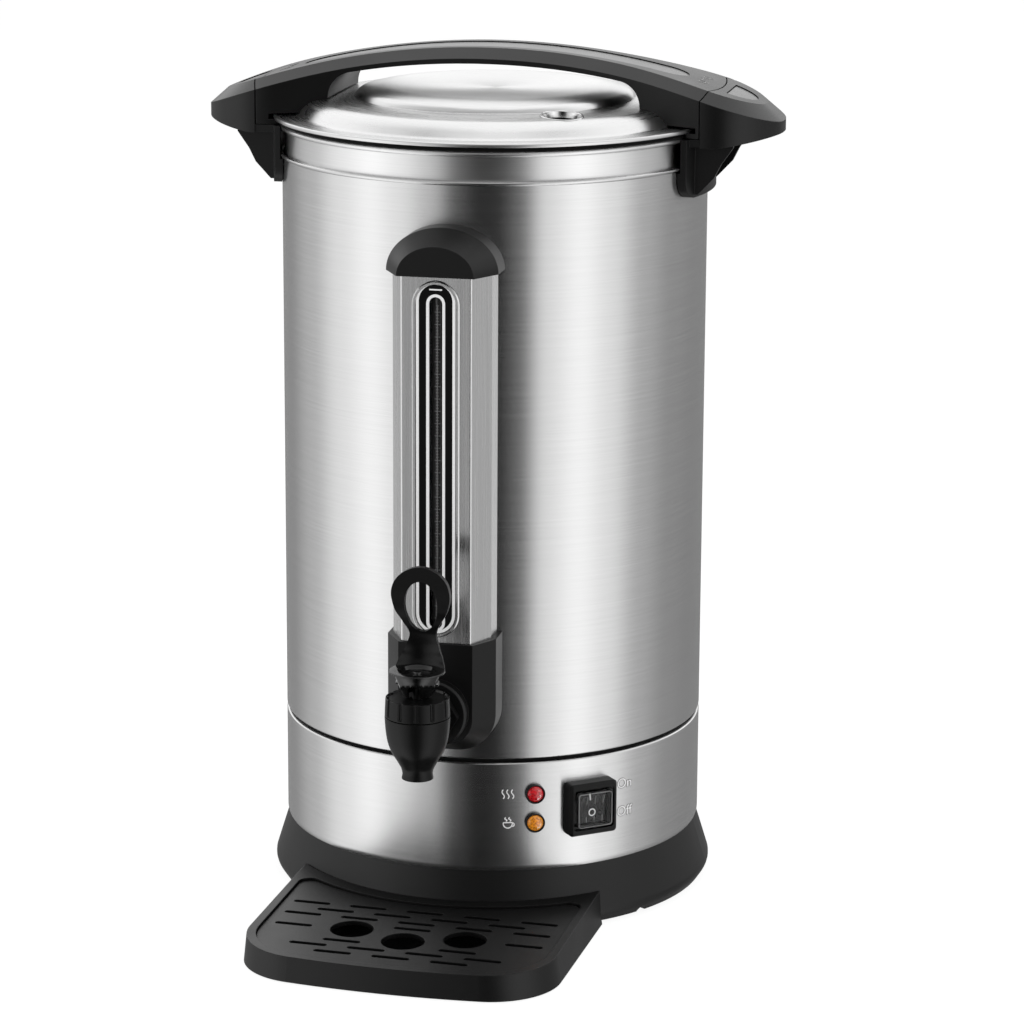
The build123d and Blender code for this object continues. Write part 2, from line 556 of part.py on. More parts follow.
with BuildPart() as gauge_tube:
    ring(TUBE_R, TUBE_BORE, ELBOW_LOW + 3.2, ELBOW_HIGH - 3.2, centre=(0, -TUBE_Y))
save(gauge_tube, "gauge_tube")

for level, elbow_z, open_side in (("low", ELBOW_LOW, 1), ("high", ELBOW_HIGH, -1)):
    with BuildPart() as gauge_elbow:
        ends = sorted((elbow_z - open_side * 5.8, elbow_z + open_side * ELBOW_SOCKET))
        ring(ELBOW_R, 0, ends[0], ends[1], centre=(0, -TUBE_Y))
        round_bar(0, 95, TUBE_Y, elbow_z, ELBOW_PIPE_R)
        round_bar(0, BODY_R + 0.4, TUBE_Y - 2, elbow_z, 4.8)
        # socket for the tube and its seal, then the water way
        ends = sorted((elbow_z + open_side * 3.1, elbow_z + open_side * (ELBOW_SOCKET + 0.5)))
        ring(5.5, 0, ends[0], ends[1], Mode.SUBTRACT, (0, -TUBE_Y))
        ends = sorted((elbow_z - open_side * 3.0, elbow_z + open_side * 4.0))
        ring(2.6, 0, ends[0], ends[1], Mode.SUBTRACT, (0, -TUBE_Y))
        round_bar(0, 94, TUBE_Y, elbow_z, 1.9, Mode.SUBTRACT)
    save(gauge_elbow, f"gauge_elbow_{level}")

with BuildPart() as gauge_seals:
    for seal_low in (ELBOW_LOW + 4.6, ELBOW_HIGH - 7.0):
        ring(5.3, TUBE_R + 0.1, seal_low, seal_low + 2.4, centre=(0, -TUBE_Y))
save(gauge_seals, "gauge_seals")

# ---------------------------------------------------------------- tap
TAP_AXIS = Axis((0, -TAP_Y, 0), (0, 0, 1))
TAP_SECTION = Plane(origin=(0, -TAP_Y, 0), x_dir=(1, 0, 0), z_dir=(0, -1, 0))
PIN_PLANE = Plane(origin=(0, -TAP_Y, PIN_Z), z_dir=(1, 0, 0))

with BuildPart() as tap_body:
    with BuildSketch(TAP_SECTION):
        with BuildLine():
            Polyline((0, SPOUT_LOW), (SPOUT_R, SPOUT_LOW), (8.3, 109))
            Spline((8.3, 109), (12.7, 118.8), (15.7, 126), (16.4, 133), tangents=((0.05, 1), (0.05, 1)))
            Polyline((16.4, 133), (13.0, 133), (13.0, 139), (0, 139), (0, SPOUT_LOW))
        make_face()
    revolve(axis=TAP_AXIS)
    round_bar(0, SOCKET_END, TAP_Y, TAP_Z, SOCKET_R)
    turned_form(
        (
            (0, SPOUT_LOW - 1), (SPOUT_BORE, SPOUT_LOW - 1), (SPOUT_BORE, 109.5), (4.6, 111),
            (4.6, SEAT_Z), (7.3, SEAT_Z), (7.3, 115), (CHAMBER_R, 122), (CHAMBER_R, 140), (0, 140),
        ),
        TAP_AXIS, TAP_SECTION, Mode.SUBTRACT,
    )
    round_bar(0, SOCKET_END - 1, SHANK_OUT + 0.2, TAP_Z, SHANK_R + SKIN_GAP, Mode.SUBTRACT)
    round_bar(0, SHANK_OUT - 1, TAP_Y, TAP_Z, SHANK_BORE, Mode.SUBTRACT)
save(tap_body, "tap_body")

with BuildPart() as tap_bonnet:
    turned_form(
        (
            (13.35, BONNET_LOW), (BONNET_R, BONNET_LOW), (BONNET_R, BONNET_RIM - 0.9),
            (BONNET_R - 0.9, BONNET_RIM), (12.6, BONNET_RIM), (12.0, BONNET_LAND),
            (STEM_R + SKIN_GAP, BONNET_LAND),
            (STEM_R + SKIN_GAP, 140.4), (9.5, 140.4), (9.5, 139.3), (13.35, 139.3),
        ),
        TAP_AXIS, TAP_SECTION,
    )
    with BuildSketch(Plane.XY.offset(BONNET_LOW + 1.6)):
        with Locations((0, -TAP_Y)):
            with PolarLocations(BONNET_R + 0.5, 12):
                Circle(1.5)
    extrude(amount=BONNET_RIM - BONNET_LOW, mode=Mode.SUBTRACT)
save(tap_bonnet, "tap_bonnet")

with BuildPart() as tap_shank:
    round_bar(0, SHANK_IN, SHANK_OUT, TAP_Z, SHANK_R)
    round_bar(0, BODY_R + 0.5, BODY_R + 3.4, TAP_Z, 12.5)
    round_bar(0, SHANK_IN - 1, SHANK_OUT + 1, TAP_Z, SHANK_BORE, Mode.SUBTRACT)
save(tap_shank, "tap_shank")

for name, near, far in (("shank_nut", 96.4, 102.5), ("tap_union", BOSS_FACE + 0.2, SOCKET_END - 0.2)):
    with BuildPart() as hex_nut:
        with BuildSketch(wall_plane(0, near, TAP_Z)):
            RegularPolygon(12.0, 6, major_radius=False)
            Circle(SHANK_R + SKIN_GAP, mode=Mode.SUBTRACT)
        extrude(amount=far - near)
    save(hex_nut, name)

with BuildPart() as tap_seat_cup:
    turned_form(
        (
            (0, SEAT_Z + 0.05), (6.4, SEAT_Z + 0.05), (6.4, 118), (9.4, 125), (8.2, 125), (5.4, 118.6),
            (2.7, 118.6), (2.7, 117), (4.0, 117), (4.0, 113.6), (0, 113.6),
        ),
        TAP_AXIS, TAP_SECTION,
    )
save(tap_seat_cup, "tap_seat_cup")

with BuildPart() as tap_stem:
    turned_form(
        ((0, 113.7), (3.7, 113.7), (3.7, 116.9), (STEM_R, 116.9), (STEM_R, PIN_Z - 2), (0, PIN_Z - 2)),
        TAP_AXIS, TAP_SECTION,
    )
    with BuildSketch(PIN_PLANE):
        Circle(2.9)
    extrude(amount=2.9, both=True)
    with BuildSketch(PIN_PLANE):
        Circle(PIN_R + 0.1)
    extrude(amount=6, both=True, mode=Mode.SUBTRACT)
save(tap_stem, "tap_stem")

with BuildPart() as lever_pin:
    with BuildSketch(PIN_PLANE):
        Circle(PIN_R)
    extrude(amount=PIN_HALF, both=True)
save(lever_pin, "lever_pin")

lean = radians(LEVER_LEAN)
LEVER_PLANE = Plane(origin=(0, -TAP_Y, 153), x_dir=(1, 0, 0), z_dir=(0, -cos(lean), sin(lean)))

with BuildPart() as tap_lever:
    with BuildSketch(LEVER_PLANE):
        with BuildLine():
            Polyline((0, 0), (12.9, 0), (12.8, 3.6))
            Spline(
                (12.8, 3.6), (9.3, 11.5), (7.1, 18.6), (9.2, 25.5), (13.2, 32.5), (15.0, 39.5),
                (13.1, 47.5), (8.5, 53.0), (0, 55.9), tangents=((-0.1, 3.6), (-1, 0)),
            )
            mirror(about=Plane.YZ)
        make_face()
        with Locations((0, 35.6)):
            SlotOverall(24.4, 15, rotation=90, mode=Mode.SUBTRACT)
    extrude(amount=LEVER_T / 2, both=True)
    lever_faces = tap_lever.faces().sort_by(Axis((0, 0, 0), LEVER_PLANE.z_dir))
    loop_edges = lever_faces[-1].edges() + lever_faces[0].edges()
    fillet(loop_edges.filter_by(lambda edge: edge.center().Z > 154), radius=1.4)
    turned_form(
        (
            (0, CUP_LOW), (CUP_LOW_R, CUP_LOW), (13.0, 152.0), (14.0, 152.6), (14.0, 154.2),
            (12.9, 156.0), (0, 156.0),
        ),
        TAP_AXIS, TAP_SECTION,
    )
    turned_form(
        ((0, CUP_LOW - 1), (8.5, CUP_LOW - 1), (8.5, 150.6), (5.5, 153.6), (0, 153.6)),
        TAP_AXIS, TAP_SECTION, Mode.SUBTRACT,
    )
    with BuildSketch(PIN_PLANE):
        Circle(PIN_R + 0.1)
    extrude(amount=20, both=True, mode=Mode.SUBTRACT)
save(tap_lever, "tap_lever")


# ---------------------------------------------------------------- handle form
def handle_plan():
    """The whole handle's outline from above, at the lower edge of its bevel."""
    with BuildSketch() as plan:
        with BuildLine():
            Spline(*HANDLE_PLAN, tangents=((1, 0), (0, -1)))
            mirror(about=Plane.YZ)
            mirror(about=Plane.XZ)
        make_face()
    return plan.sketch


def crown_layer(near, far):
    """Keep only what lies between two depths under the handle's crown."""
    with BuildSketch(Plane.XZ) as layer:
        with Locations((0, HANDLE_TOP - HANDLE_ARC_R)):
            Circle(HANDLE_ARC_R - near)
            Circle(HANDLE_ARC_R - far, mode=Mode.SUBTRACT)
    extrude(layer.sketch, amount=60, both=True, mode=Mode.INTERSECT)


def seam_plan(radius, reach, start):
    """Plan of all that lies inside the seam: a disc with two lock tongues."""
    with BuildSketch() as plan:
        for side in (-1, 1):
            with BuildLine():
                Polyline(
                    (0, 0),
                    (side * 200 * cos(radians(start)), side * 200 * sin(radians(start))),
                    (side * 200 * cos(radians(start + 24)), side * 200 * sin(radians(start + 24))),
                    close=True,
                )
            make_face()
        Circle(reach, mode=Mode.INTERSECT)
        Circle(radius)
    return plan.sketch


with BuildPart() as handle_form:
    with BuildSketch(Plane.XY.offset(380)):
        add(handle_plan())
    extrude(amount=80)
    with BuildSketch(Plane.XZ):
        with Locations((0, HANDLE_TOP - HANDLE_ARC_R)):
            Circle(HANDLE_ARC_R)
    extrude(amount=60, both=True, mode=Mode.INTERSECT)
    crown = handle_form.faces().sort_by(Axis.Z)[-1]
    chamfer(crown.edges(), length=BEVEL_DOWN, length2=BEVEL_ACROSS)

with BuildPart() as bar_pocket:
    with BuildSketch(Plane.XY.offset(400)):
        SlotOverall(BAR_INLAY_LONG, BAR_INLAY_WIDE)
    extrude(amount=60)
    crown_layer(-5, INLAY_DEPTH)

with BuildPart() as bar_inlay:
    with BuildSketch(Plane.XY.offset(400)):
        SlotOverall(BAR_INLAY_LONG - 0.5, BAR_INLAY_WIDE - 0.5)
    extrude(amount=60)
    crown_layer(INLAY_DEPTH - INLAY_T, INLAY_DEPTH - 0.03)
save(bar_inlay, "bar_inlay")

with BuildPart() as lid_bar:
    add(handle_form.part)
    with BuildSketch(Plane.XY.offset(BAR_FOOT)):
        add(seam_plan(SEAM_R, TONGUE_R, TONGUE_START))
    extrude(amount=60, mode=Mode.INTERSECT)
    # the open arch under the grip
    with BuildSketch(Plane.XZ) as arch:
        with BuildLine():
            ThreePointArc((-ARCH_HALF, ARCH_SIDE_Z), (0, ARCH_TOP_Z), (ARCH_HALF, ARCH_SIDE_Z))
            Polyline(
                (ARCH_HALF, ARCH_SIDE_Z), (ARCH_HALF, 380), (-ARCH_HALF, 380), (-ARCH_HALF, ARCH_SIDE_Z)
            )
        make_face()
        fillet(arch.vertices().group_by(Axis.Y)[-1], radius=ARCH_CORNER)
    extrude(amount=60, both=True, mode=Mode.SUBTRACT)
    # room for the lid's top, its flange and the rim
    turned_form(
        (
            (0, 419.3), (60, 419.9), (66.5, 423.0), (71.8, 415.9), (92, 414.2), (97.5, 407.7),
            (117.1, 406.8), (117.1, 404.0), (112.2, 404.0), (112.2, 390), (0, 390),
        ),
        mode=Mode.SUBTRACT,
    )
    add(bar_pocket.part, mode=Mode.SUBTRACT)
    with BuildSketch(Plane.XY.offset(405)):
        with GridLocations(2 * LID_SCREW_X, 2 * LID_SCREW_Y, 2, 2):
            Circle(LID_SCREW_R + SKIN_GAP)
    extrude(amount=19.5, mode=Mode.SUBTRACT)
save(lid_bar, "lid_bar")

# ---------------------------------------------------------------- ears on the body
with BuildPart() as ear_bracket:
    ring(EAR_PLATE_R, BODY_R + SKIN_GAP, EAR_PLATE_LOW, EAR_LEDGE)
    with BuildSketch(Plane.YZ) as plate_front:
        with Locations((0, EAR_PLATE_LOW)):
            Rectangle(2 * EAR_PLATE_HALF, EAR_LEDGE - EAR_PLATE_LOW, align=(Align.CENTER, Align.MIN))
        fillet(plate_front.vertices().group_by(Axis.Y)[0], radius=9.0)
    extrude(amount=130, mode=Mode.INTERSECT)
    # ledge under the lid bar's foot, then two gussets
    with BuildSketch(Plane.XY.offset(EAR_LEDGE - 3.8)):
        with Locations((115, 0)):
            Rectangle(30, 76)
        Circle(124.5, mode=Mode.INTERSECT)
    extrude(amount=3.8)
    for gusset_y in (-EAR_GUSSET_Y, EAR_GUSSET_Y):
        with BuildSketch(Plane.XZ.offset(-gusset_y)):
            with BuildLine():
                Polyline(
                    (103, 372.5), (111.5, 372.5), (119.5, 381), (123, 388), (129, 396.5), (129, 400),
                    (103, 400), close=True,
                )
            make_face()
        extrude(amount=2, both=True)
    ring(EAR_RELIEF_R, 0, 384, 410, Mode.SUBTRACT)
    ring(BODY_R + SKIN_GAP, 0, 360, 384.5, Mode.SUBTRACT)
    # blind holes for the screws that come from inside the shell
    for shift in (-EAR_SCREW_Y, EAR_SCREW_Y):
        round_bar(90, 105, EAR_SCREW_END + 0.3, EAR_SCREW_Z, EAR_SCREW_R + 0.1, Mode.SUBTRACT, shift)

with BuildPart() as ear_pocket:
    with BuildSketch(Plane.XY.offset(390)):
        with BuildLine():
            ThreePointArc((122.6, -16), (136.6, 0), (122.6, 16))
            Line((122.6, 16), (122.6, -16))
        make_face()
    extrude(amount=60)
    crown_layer(-5, INLAY_DEPTH)

with BuildPart() as ear_inlay:
    with BuildSketch(Plane.XY.offset(390)):
        with BuildLine():
            ThreePointArc((122.9, -15.4), (136.3, 0), (122.9, 15.4))
            Line((122.9, 15.4), (122.9, -15.4))
        make_face()
    extrude(amount=60)
    crown_layer(INLAY_DEPTH - INLAY_T, INLAY_DEPTH - 0.03)

with BuildPart() as ear:
    add(handle_form.part)
    with BuildSketch(Plane.XY.offset(375)):
        add(seam_plan(SEAM_R + SEAM_GAP, TONGUE_R + TONGUE_SLACK, TONGUE_START - 0.4))
    extrude(amount=80, mode=Mode.SUBTRACT)
    with Locations((-100, 0, 410)):
        Box(200, 200, 120, mode=Mode.SUBTRACT)
    # the underside rises towards the tip
    with BuildSketch(Plane.XZ):
        with BuildLine():
            Polyline(
                (100, 370), (100, 396.3), (123, 397.0), (149.5, 401.5), (160, 403.3), (160, 370), close=True
            )
        make_face()
    extrude(amount=60, both=True, mode=Mode.SUBTRACT)
    # moulded hollow under the ear
    with BuildSketch(Plane.XY.offset(380)):
        with BuildLine():
            ThreePointArc((126.5, -25), (143, 0), (126.5, 25))
            Line((126.5, 25), (126.5, -25))
        make_face()
    extrude(amount=25.5, mode=Mode.SUBTRACT)
    add(ear_bracket.part)
    add(ear_pocket.part, mode=Mode.SUBTRACT)

for side_name, half_turn in (("right", 0), ("left", 180)):
    with BuildPart() as side_handle:
        add(ear.part, rotation=(0, 0, half_turn))
    save(side_handle, f"side_handle_{side_name}")
    with BuildPart() as side_inlay:
        add(ear_inlay.part, rotation=(0, 0, half_turn))
    save(side_inlay, f"side_inlay_{side_name}")

with BuildPart() as side_handle_screws:
    for side_azimuth in (90, -90):
        for shift in (-EAR_SCREW_Y, EAR_SCREW_Y):
            round_bar(side_azimuth, 106.5, EAR_SCREW_END, EAR_SCREW_Z, EAR_SCREW_R, shift=shift)
            round_bar(side_azimuth, 105.6, 107.4, EAR_SCREW_Z, 3.4, shift=shift)
            with BuildSketch(wall_plane(side_azimuth, 104.5, EAR_SCREW_Z)):
                with Locations((shift, 0)):
                    Rectangle(4, 0.9)
                    Rectangle(0.9, 4)
            extrude(amount=2.0, mode=Mode.SUBTRACT)
save(side_handle_screws, "side_handle_screws")

# ---------------------------------------------------------------- lid
vent_x, vent_y = polar_point(VENT_AZIMUTH, VENT_RING_R)
slope = radians(VENT_SLOPE)
vent_out = wall_plane(VENT_AZIMUTH, 0, 0)
VENT_PLANE = Plane(
    origin=(vent_x, vent_y, 414.78),
    x_dir=vent_out.x_dir,
    z_dir=(vent_out.z_dir.X * sin(slope), vent_out.z_dir.Y * sin(slope), cos(slope)),
)

with BuildPart() as lid_shell:
    sheet_ring(
        (
            (116.7, 404.5), (116.7, 406.4), (97.5, 407.4), (92, 413.9), (71.8, 415.6), (66.5, 422.6),
            (60, 419.6), (0, 419.0),
        ),
        radii=(0.9, 3, 5, 1, 2.5, 8),
    )
    with BuildSketch(VENT_PLANE.offset(-5)):
        Circle(VENT_R)
    extrude(amount=10, mode=Mode.SUBTRACT)
    with BuildSketch(Plane.XY.offset(405)):
        with GridLocations(2 * LID_SCREW_X, 2 * LID_SCREW_Y, 2, 2):
            Circle(LID_SCREW_R + SKIN_GAP)
    extrude(amount=12, mode=Mode.SUBTRACT)
save(lid_shell, "lid_shell")

with BuildPart() as vent_collar:
    with BuildSketch(VENT_PLANE.offset(0.2)):
        Circle(VENT_R + 0.8)
    extrude(amount=0.9)
    chamfer(vent_collar.faces().sort_by(Axis.Z)[-1].edges(), length=0.4)
    with BuildSketch(VENT_PLANE.offset(-4)):
        Circle(VENT_R - SKIN_GAP)
    extrude(amount=4.6)
    with BuildSketch(VENT_PLANE.offset(-5)):
        Circle(VENT_R - 1.2)
    extrude(amount=8, mode=Mode.SUBTRACT)
save(vent_collar, "vent_collar")

with BuildPart() as lid_liner:
    turned_form(
        (
            (110.3, 404.45), (110.3, 405.25), (98.9, 405.25), (97.2, 397.2), (0, 397.2), (0, 396.4),
            (97.9, 396.4), (99.6, 404.45),
        )
    )
    ring(6.0, 0, 390, 400, Mode.SUBTRACT, (vent_x, vent_y))
save(lid_liner, "lid_liner")

with BuildPart() as lid_gasket:
    turned_form(
        (
            (100.2, 402.05), (105.6, 402.05), (105.9, 399.0), (107.3, 399.2), (107.6, 402.05),
            (110.6, 402.05), (110.6, 404.3), (100.2, 404.3),
        )
    )
save(lid_gasket, "lid_gasket")

with BuildPart() as lid_screws:
    with BuildSketch(Plane.XY.offset(410.2)):
        with GridLocations(2 * LID_SCREW_X, 2 * LID_SCREW_Y, 2, 2):
            Circle(3.4)
    extrude(amount=2.7)
    with BuildSketch(Plane.XY.offset(412.5)):
        with GridLocations(2 * LID_SCREW_X, 2 * LID_SCREW_Y, 2, 2):
            Circle(LID_SCREW_R)
    extrude(amount=11.5)
save(lid_screws, "lid_screws")


# ---------------------------------------------------------------- drip tray and grate
def tray_plan(side_inset, front_inset, corner):
    """The tray's outline in the base's turned frame: straight sides and a bowed front."""
    half = TRAY_HALF - side_inset
    front = TRAY_FRONT - front_inset
    with BuildSketch() as plan:
        with BuildLine():
            ThreePointArc((-half, TRAY_BOW - front), (0, -front), (half, TRAY_BOW - front))
            Polyline((half, TRAY_BOW - front), (half, -70), (-half, -70), (-half, TRAY_BOW - front))
        make_face()
        fillet(plan.vertices().group_by(Axis.Y)[0], radius=corner)
    return plan.sketch


def grate_plan(play):
    """The grate's outline, with its back edge concentric with the urn."""
    with BuildSketch() as plan:
        add(tray_plan(GRATE_SIDE_INSET + play, GRATE_FRONT_INSET + play, GRATE_CORNER - play))
        Circle(GRATE_BACK_R + play, mode=Mode.SUBTRACT)
        fillet(plan.vertices().group_by(Axis.Y)[-1], radius=6.0)
    return plan.sketch


turn = radians(BASE_TURN)
tray_rise = atan((TRAY_BACK_H - TRAY_FRONT_H) / (TRAY_FRONT - TRAY_BACK))
TRAY_TOP = Plane(
    origin=(TRAY_FRONT * sin(turn), -TRAY_FRONT * cos(turn), TRAY_FRONT_H),
    x_dir=(cos(turn), sin(turn), 0),
    z_dir=(sin(tray_rise) * sin(turn), -sin(tray_rise) * cos(turn), cos(tray_rise)),
)

with BuildPart() as drip_tray:
    with BuildSketch(base_plane(TRAY_LOW)):
        add(tray_plan(0, 0, TRAY_CORNER))
    with BuildSketch(base_plane(TRAY_LOFT_TOP)):
        add(tray_plan(TRAY_SIDE_DRAFT, 0, TRAY_CORNER - 1))
    loft()
    with BuildSketch(TRAY_TOP):
        Rectangle(500, 700)
    extrude(amount=40, mode=Mode.SUBTRACT)
    with BuildSketch(TRAY_TOP):
        with Locations((0, TRAY_FRONT)):
            add(grate_plan(0))
    extrude(amount=-(GRATE_SINK + GRATE_T), mode=Mode.SUBTRACT)
    with BuildSketch(base_plane(TRAY_FLOOR)):
        add(
            tray_plan(
                GRATE_SIDE_INSET + LEDGE_WIDE, GRATE_FRONT_INSET + LEDGE_WIDE, GRATE_CORNER - LEDGE_WIDE
            )
        )
        Circle(GRATE_BACK_R + LEDGE_WIDE, mode=Mode.SUBTRACT)
    extrude(amount=20, mode=Mode.SUBTRACT)
    # the back follows the skirt's flare
    turned_form(
        (
            (0, -3), (TRAY_BACK_R, -3), (TRAY_BACK_R, SKIRT_WIDE_Z + 0.2),
            (SKIRT_TOP_R + 0.6, SKIRT_TOP + 0.5), (0, SKIRT_TOP + 0.5),
        ),
        mode=Mode.SUBTRACT,
    )
    with BuildSketch(base_plane(TONGUE_LOW)):
        with Locations((-TONGUE_X, -105), (TONGUE_X, -105)):
            Rectangle(TONGUE_WIDE, 16)
    extrude(amount=TONGUE_HIGH - TONGUE_LOW)
save(drip_tray, "drip_tray")

with BuildPart() as drip_grate:
    with BuildSketch(TRAY_TOP.offset(-GRATE_SINK - GRATE_T + 0.05)):
        with Locations((0, TRAY_FRONT)):
            add(grate_plan(GRATE_PLAY))
        for row, places in enumerate(GRATE_ROWS):
            for slot_x in places:
                with Locations((slot_x, TRAY_FRONT - GRATE_FIRST - GRATE_ROW * row)):
                    SlotOverall(GRATE_SLOT_L, GRATE_SLOT_W, mode=Mode.SUBTRACT)
        for hole_x, hole_y in CUP_HOLES:
            with Locations((hole_x, TRAY_FRONT + hole_y)):
                Circle(CUP_HOLE_R, mode=Mode.SUBTRACT)
    extrude(amount=GRATE_T)
save(drip_grate, "drip_grate")

# ---------------------------------------------------------------- percolator inside the tank
with BuildPart() as percolator_stem:
    turned_form(
        (
            (20.0, 99.0), (20.0, 101.0), (8.0, 113.0), (STEM_TUBE_R, 114.0),
            (STEM_TUBE_R, BASKET_LOW - 3.6), (10.0, BASKET_LOW - 3.6), (10.0, BASKET_LOW - 0.1),
            (STEM_TUBE_R, BASKET_LOW - 0.1), (STEM_TUBE_R, STEM_TUBE_TOP), (4.8, STEM_TUBE_TOP),
            (4.8, 113.2), (7.0, 111.8), (18.6, 100.2), (18.6, 99.0),
        )
    )
    for azimuth in (0, 90):
        block(azimuth, -24, 24, 99.2, 7, 3.4, 0, Mode.SUBTRACT)
save(percolator_stem, "percolator_stem")

with BuildPart() as coffee_basket:
    turned_form(
        (
            (7.5, BASKET_LOW), (BASKET_R, BASKET_LOW), (BASKET_R, BASKET_HIGH - 1.4),
            (BASKET_R + 1.4, BASKET_HIGH - 1.4), (BASKET_R + 1.4, BASKET_HIGH),
            (BASKET_R - 1, BASKET_HIGH), (BASKET_R - 1, BASKET_LOW + 1), (8.5, BASKET_LOW + 1),
            (8.5, BASKET_HIGH - 10), (7.5, BASKET_HIGH - 10),
        )
    )
    with BuildSketch(Plane.XY.offset(BASKET_LOW - 1)):
        for hole_ring, count in ((20, 8), (32, 12), (43, 16)):
            with PolarLocations(hole_ring, count):
                Circle(1.6)
    extrude(amount=3, mode=Mode.SUBTRACT)
save(coffee_basket, "coffee_basket")

with BuildPart() as basket_lid:
    turned_form(
        (
            (7.5, BASKET_HIGH + 0.1), (BASKET_R + 1.9, BASKET_HIGH + 0.1),
            (BASKET_R + 1.9, BASKET_HIGH - 3.0), (BASKET_R + 2.7, BASKET_HIGH - 3.0),
            (BASKET_R + 2.7, BASKET_HIGH + 0.9), (7.5, BASKET_HIGH + 0.9),
        )
    )
    with BuildSketch(Plane.XY.offset(BASKET_HIGH - 1)):
        for hole_ring, count in ((18, 8), (32, 12)):
            with PolarLocations(hole_ring, count):
                Circle(1.6)
    extrude(amount=3, mode=Mode.SUBTRACT)
save(basket_lid, "basket_lid")
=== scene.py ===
"""Looks of a steel coffee urn: finishes, printed marks, lamps, studio light and camera.

Metres, +Z up, in the frame's own axes. Azimuths are measured from the front, which
faces -Y, and are positive towards +X. Heights are above the surface the urn stands on.
The corners of turned profiles and the tables of the lever's blade are in millimetres.
"""
import bpy
import bmesh
import json
from math import atan2, cos, pi, radians, sin, sqrt
from mathutils import Matrix, Vector


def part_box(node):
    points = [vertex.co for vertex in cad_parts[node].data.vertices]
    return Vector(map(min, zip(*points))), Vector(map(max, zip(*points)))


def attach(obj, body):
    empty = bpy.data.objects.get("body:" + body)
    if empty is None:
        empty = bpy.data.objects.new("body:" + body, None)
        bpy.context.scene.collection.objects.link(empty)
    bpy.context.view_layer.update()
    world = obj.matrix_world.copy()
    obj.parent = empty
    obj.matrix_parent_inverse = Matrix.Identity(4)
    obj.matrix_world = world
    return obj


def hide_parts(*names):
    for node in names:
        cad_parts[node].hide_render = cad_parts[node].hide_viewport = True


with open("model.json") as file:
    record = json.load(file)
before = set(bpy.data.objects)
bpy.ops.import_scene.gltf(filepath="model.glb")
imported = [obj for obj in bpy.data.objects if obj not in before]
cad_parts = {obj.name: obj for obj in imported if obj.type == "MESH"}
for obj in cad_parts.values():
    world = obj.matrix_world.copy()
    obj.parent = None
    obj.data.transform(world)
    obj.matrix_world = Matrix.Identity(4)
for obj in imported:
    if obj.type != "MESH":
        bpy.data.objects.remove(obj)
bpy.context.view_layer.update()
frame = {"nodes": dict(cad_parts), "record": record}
MM = 0.001

# -------------------- sizes, from the frame or the photo
BODY_R = (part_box("lower_shell")[1].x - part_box("lower_shell")[0].x) / 2
HANDLE_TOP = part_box("lid_bar")[1].z
HANDLE_ARC_R = 400 * MM
WINDOW_FACE = -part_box("gauge_frame")[0].y
WINDOW_MID, WINDOW_LONG, WINDOW_WIDE = 252.95 * MM, 178.5 * MM, 20.6 * MM
SLOT_MID, SLOT_LONG, SLOT_WIDE = 250.2 * MM, 170.6 * MM, 9.6 * MM
TUBE_Y, TUBE_R = 127.1 * MM, 4.2 * MM
SWITCH_AZIMUTH, SWITCH_Z, ROCKER_PIVOT_R, ROCKER_TILT = 38.5, 63.75 * MM, 111.0 * MM, 8.0
COVER_FACE_R = 118.9 * MM
LAMP_AZIMUTH, LAMP_FACE_R = 23.5, 112.9 * MM
LAMP_HEIGHTS = {"red": 72.9 * MM, "amber": 57.5 * MM}
INLET_Z = 61.0 * MM

VENT_AZIMUTH, VENT_RING_R, VENT_Z, VENT_SLOPE = 36.0, 82.0 * MM, 414.78 * MM, 4.8
VENT_OUT, VENT_IN = 10.4, 9.5     # vent funnel's radii at the lid and below it, in millimetres
TAP_Y, TAP_Z = 174 * MM, 124 * MM
TAP_REACH = 26.6                  # from the tap's axis back to its union, in millimetres
GROOVES, GROOVE_TURN = 12, 10.8

# -------------------- camera, as the object was seen
IMAGE_SIZE = 1024                 # pixels each way
FOCAL_PIXELS = 3820.8
SENSOR = 36.0
CAMERA_PLACE = Vector((0.4174, -1.9176, 0.6806))
CAMERA_AZIMUTH, CAMERA_PITCH, CAMERA_ROLL = 12.0, 0.2432, 0.0051


def add_camera():
    """The camera, level but for a small roll, looking down at the urn from the front right."""
    turn = radians(CAMERA_AZIMUTH)
    level_right = Vector((cos(turn), sin(turn), 0))
    ahead = Vector((-sin(turn) * cos(CAMERA_PITCH), cos(turn) * cos(CAMERA_PITCH), -sin(CAMERA_PITCH)))
    level_up = level_right.cross(ahead)
    right = cos(CAMERA_ROLL) * level_right + sin(CAMERA_ROLL) * level_up
    up = right.cross(ahead)
    data = bpy.data.cameras.new("camera")
    data.sensor_width = SENSOR
    data.lens = SENSOR * FOCAL_PIXELS / IMAGE_SIZE
    data.clip_start, data.clip_end = 0.05, 100
    camera = bpy.data.objects.new("camera", data)
    facing = Matrix((right, up, -ahead)).transposed().to_4x4()
    camera.matrix_world = Matrix.Translation(CAMERA_PLACE) @ facing
    bpy.context.scene.collection.objects.link(camera)
    bpy.context.scene.camera = camera


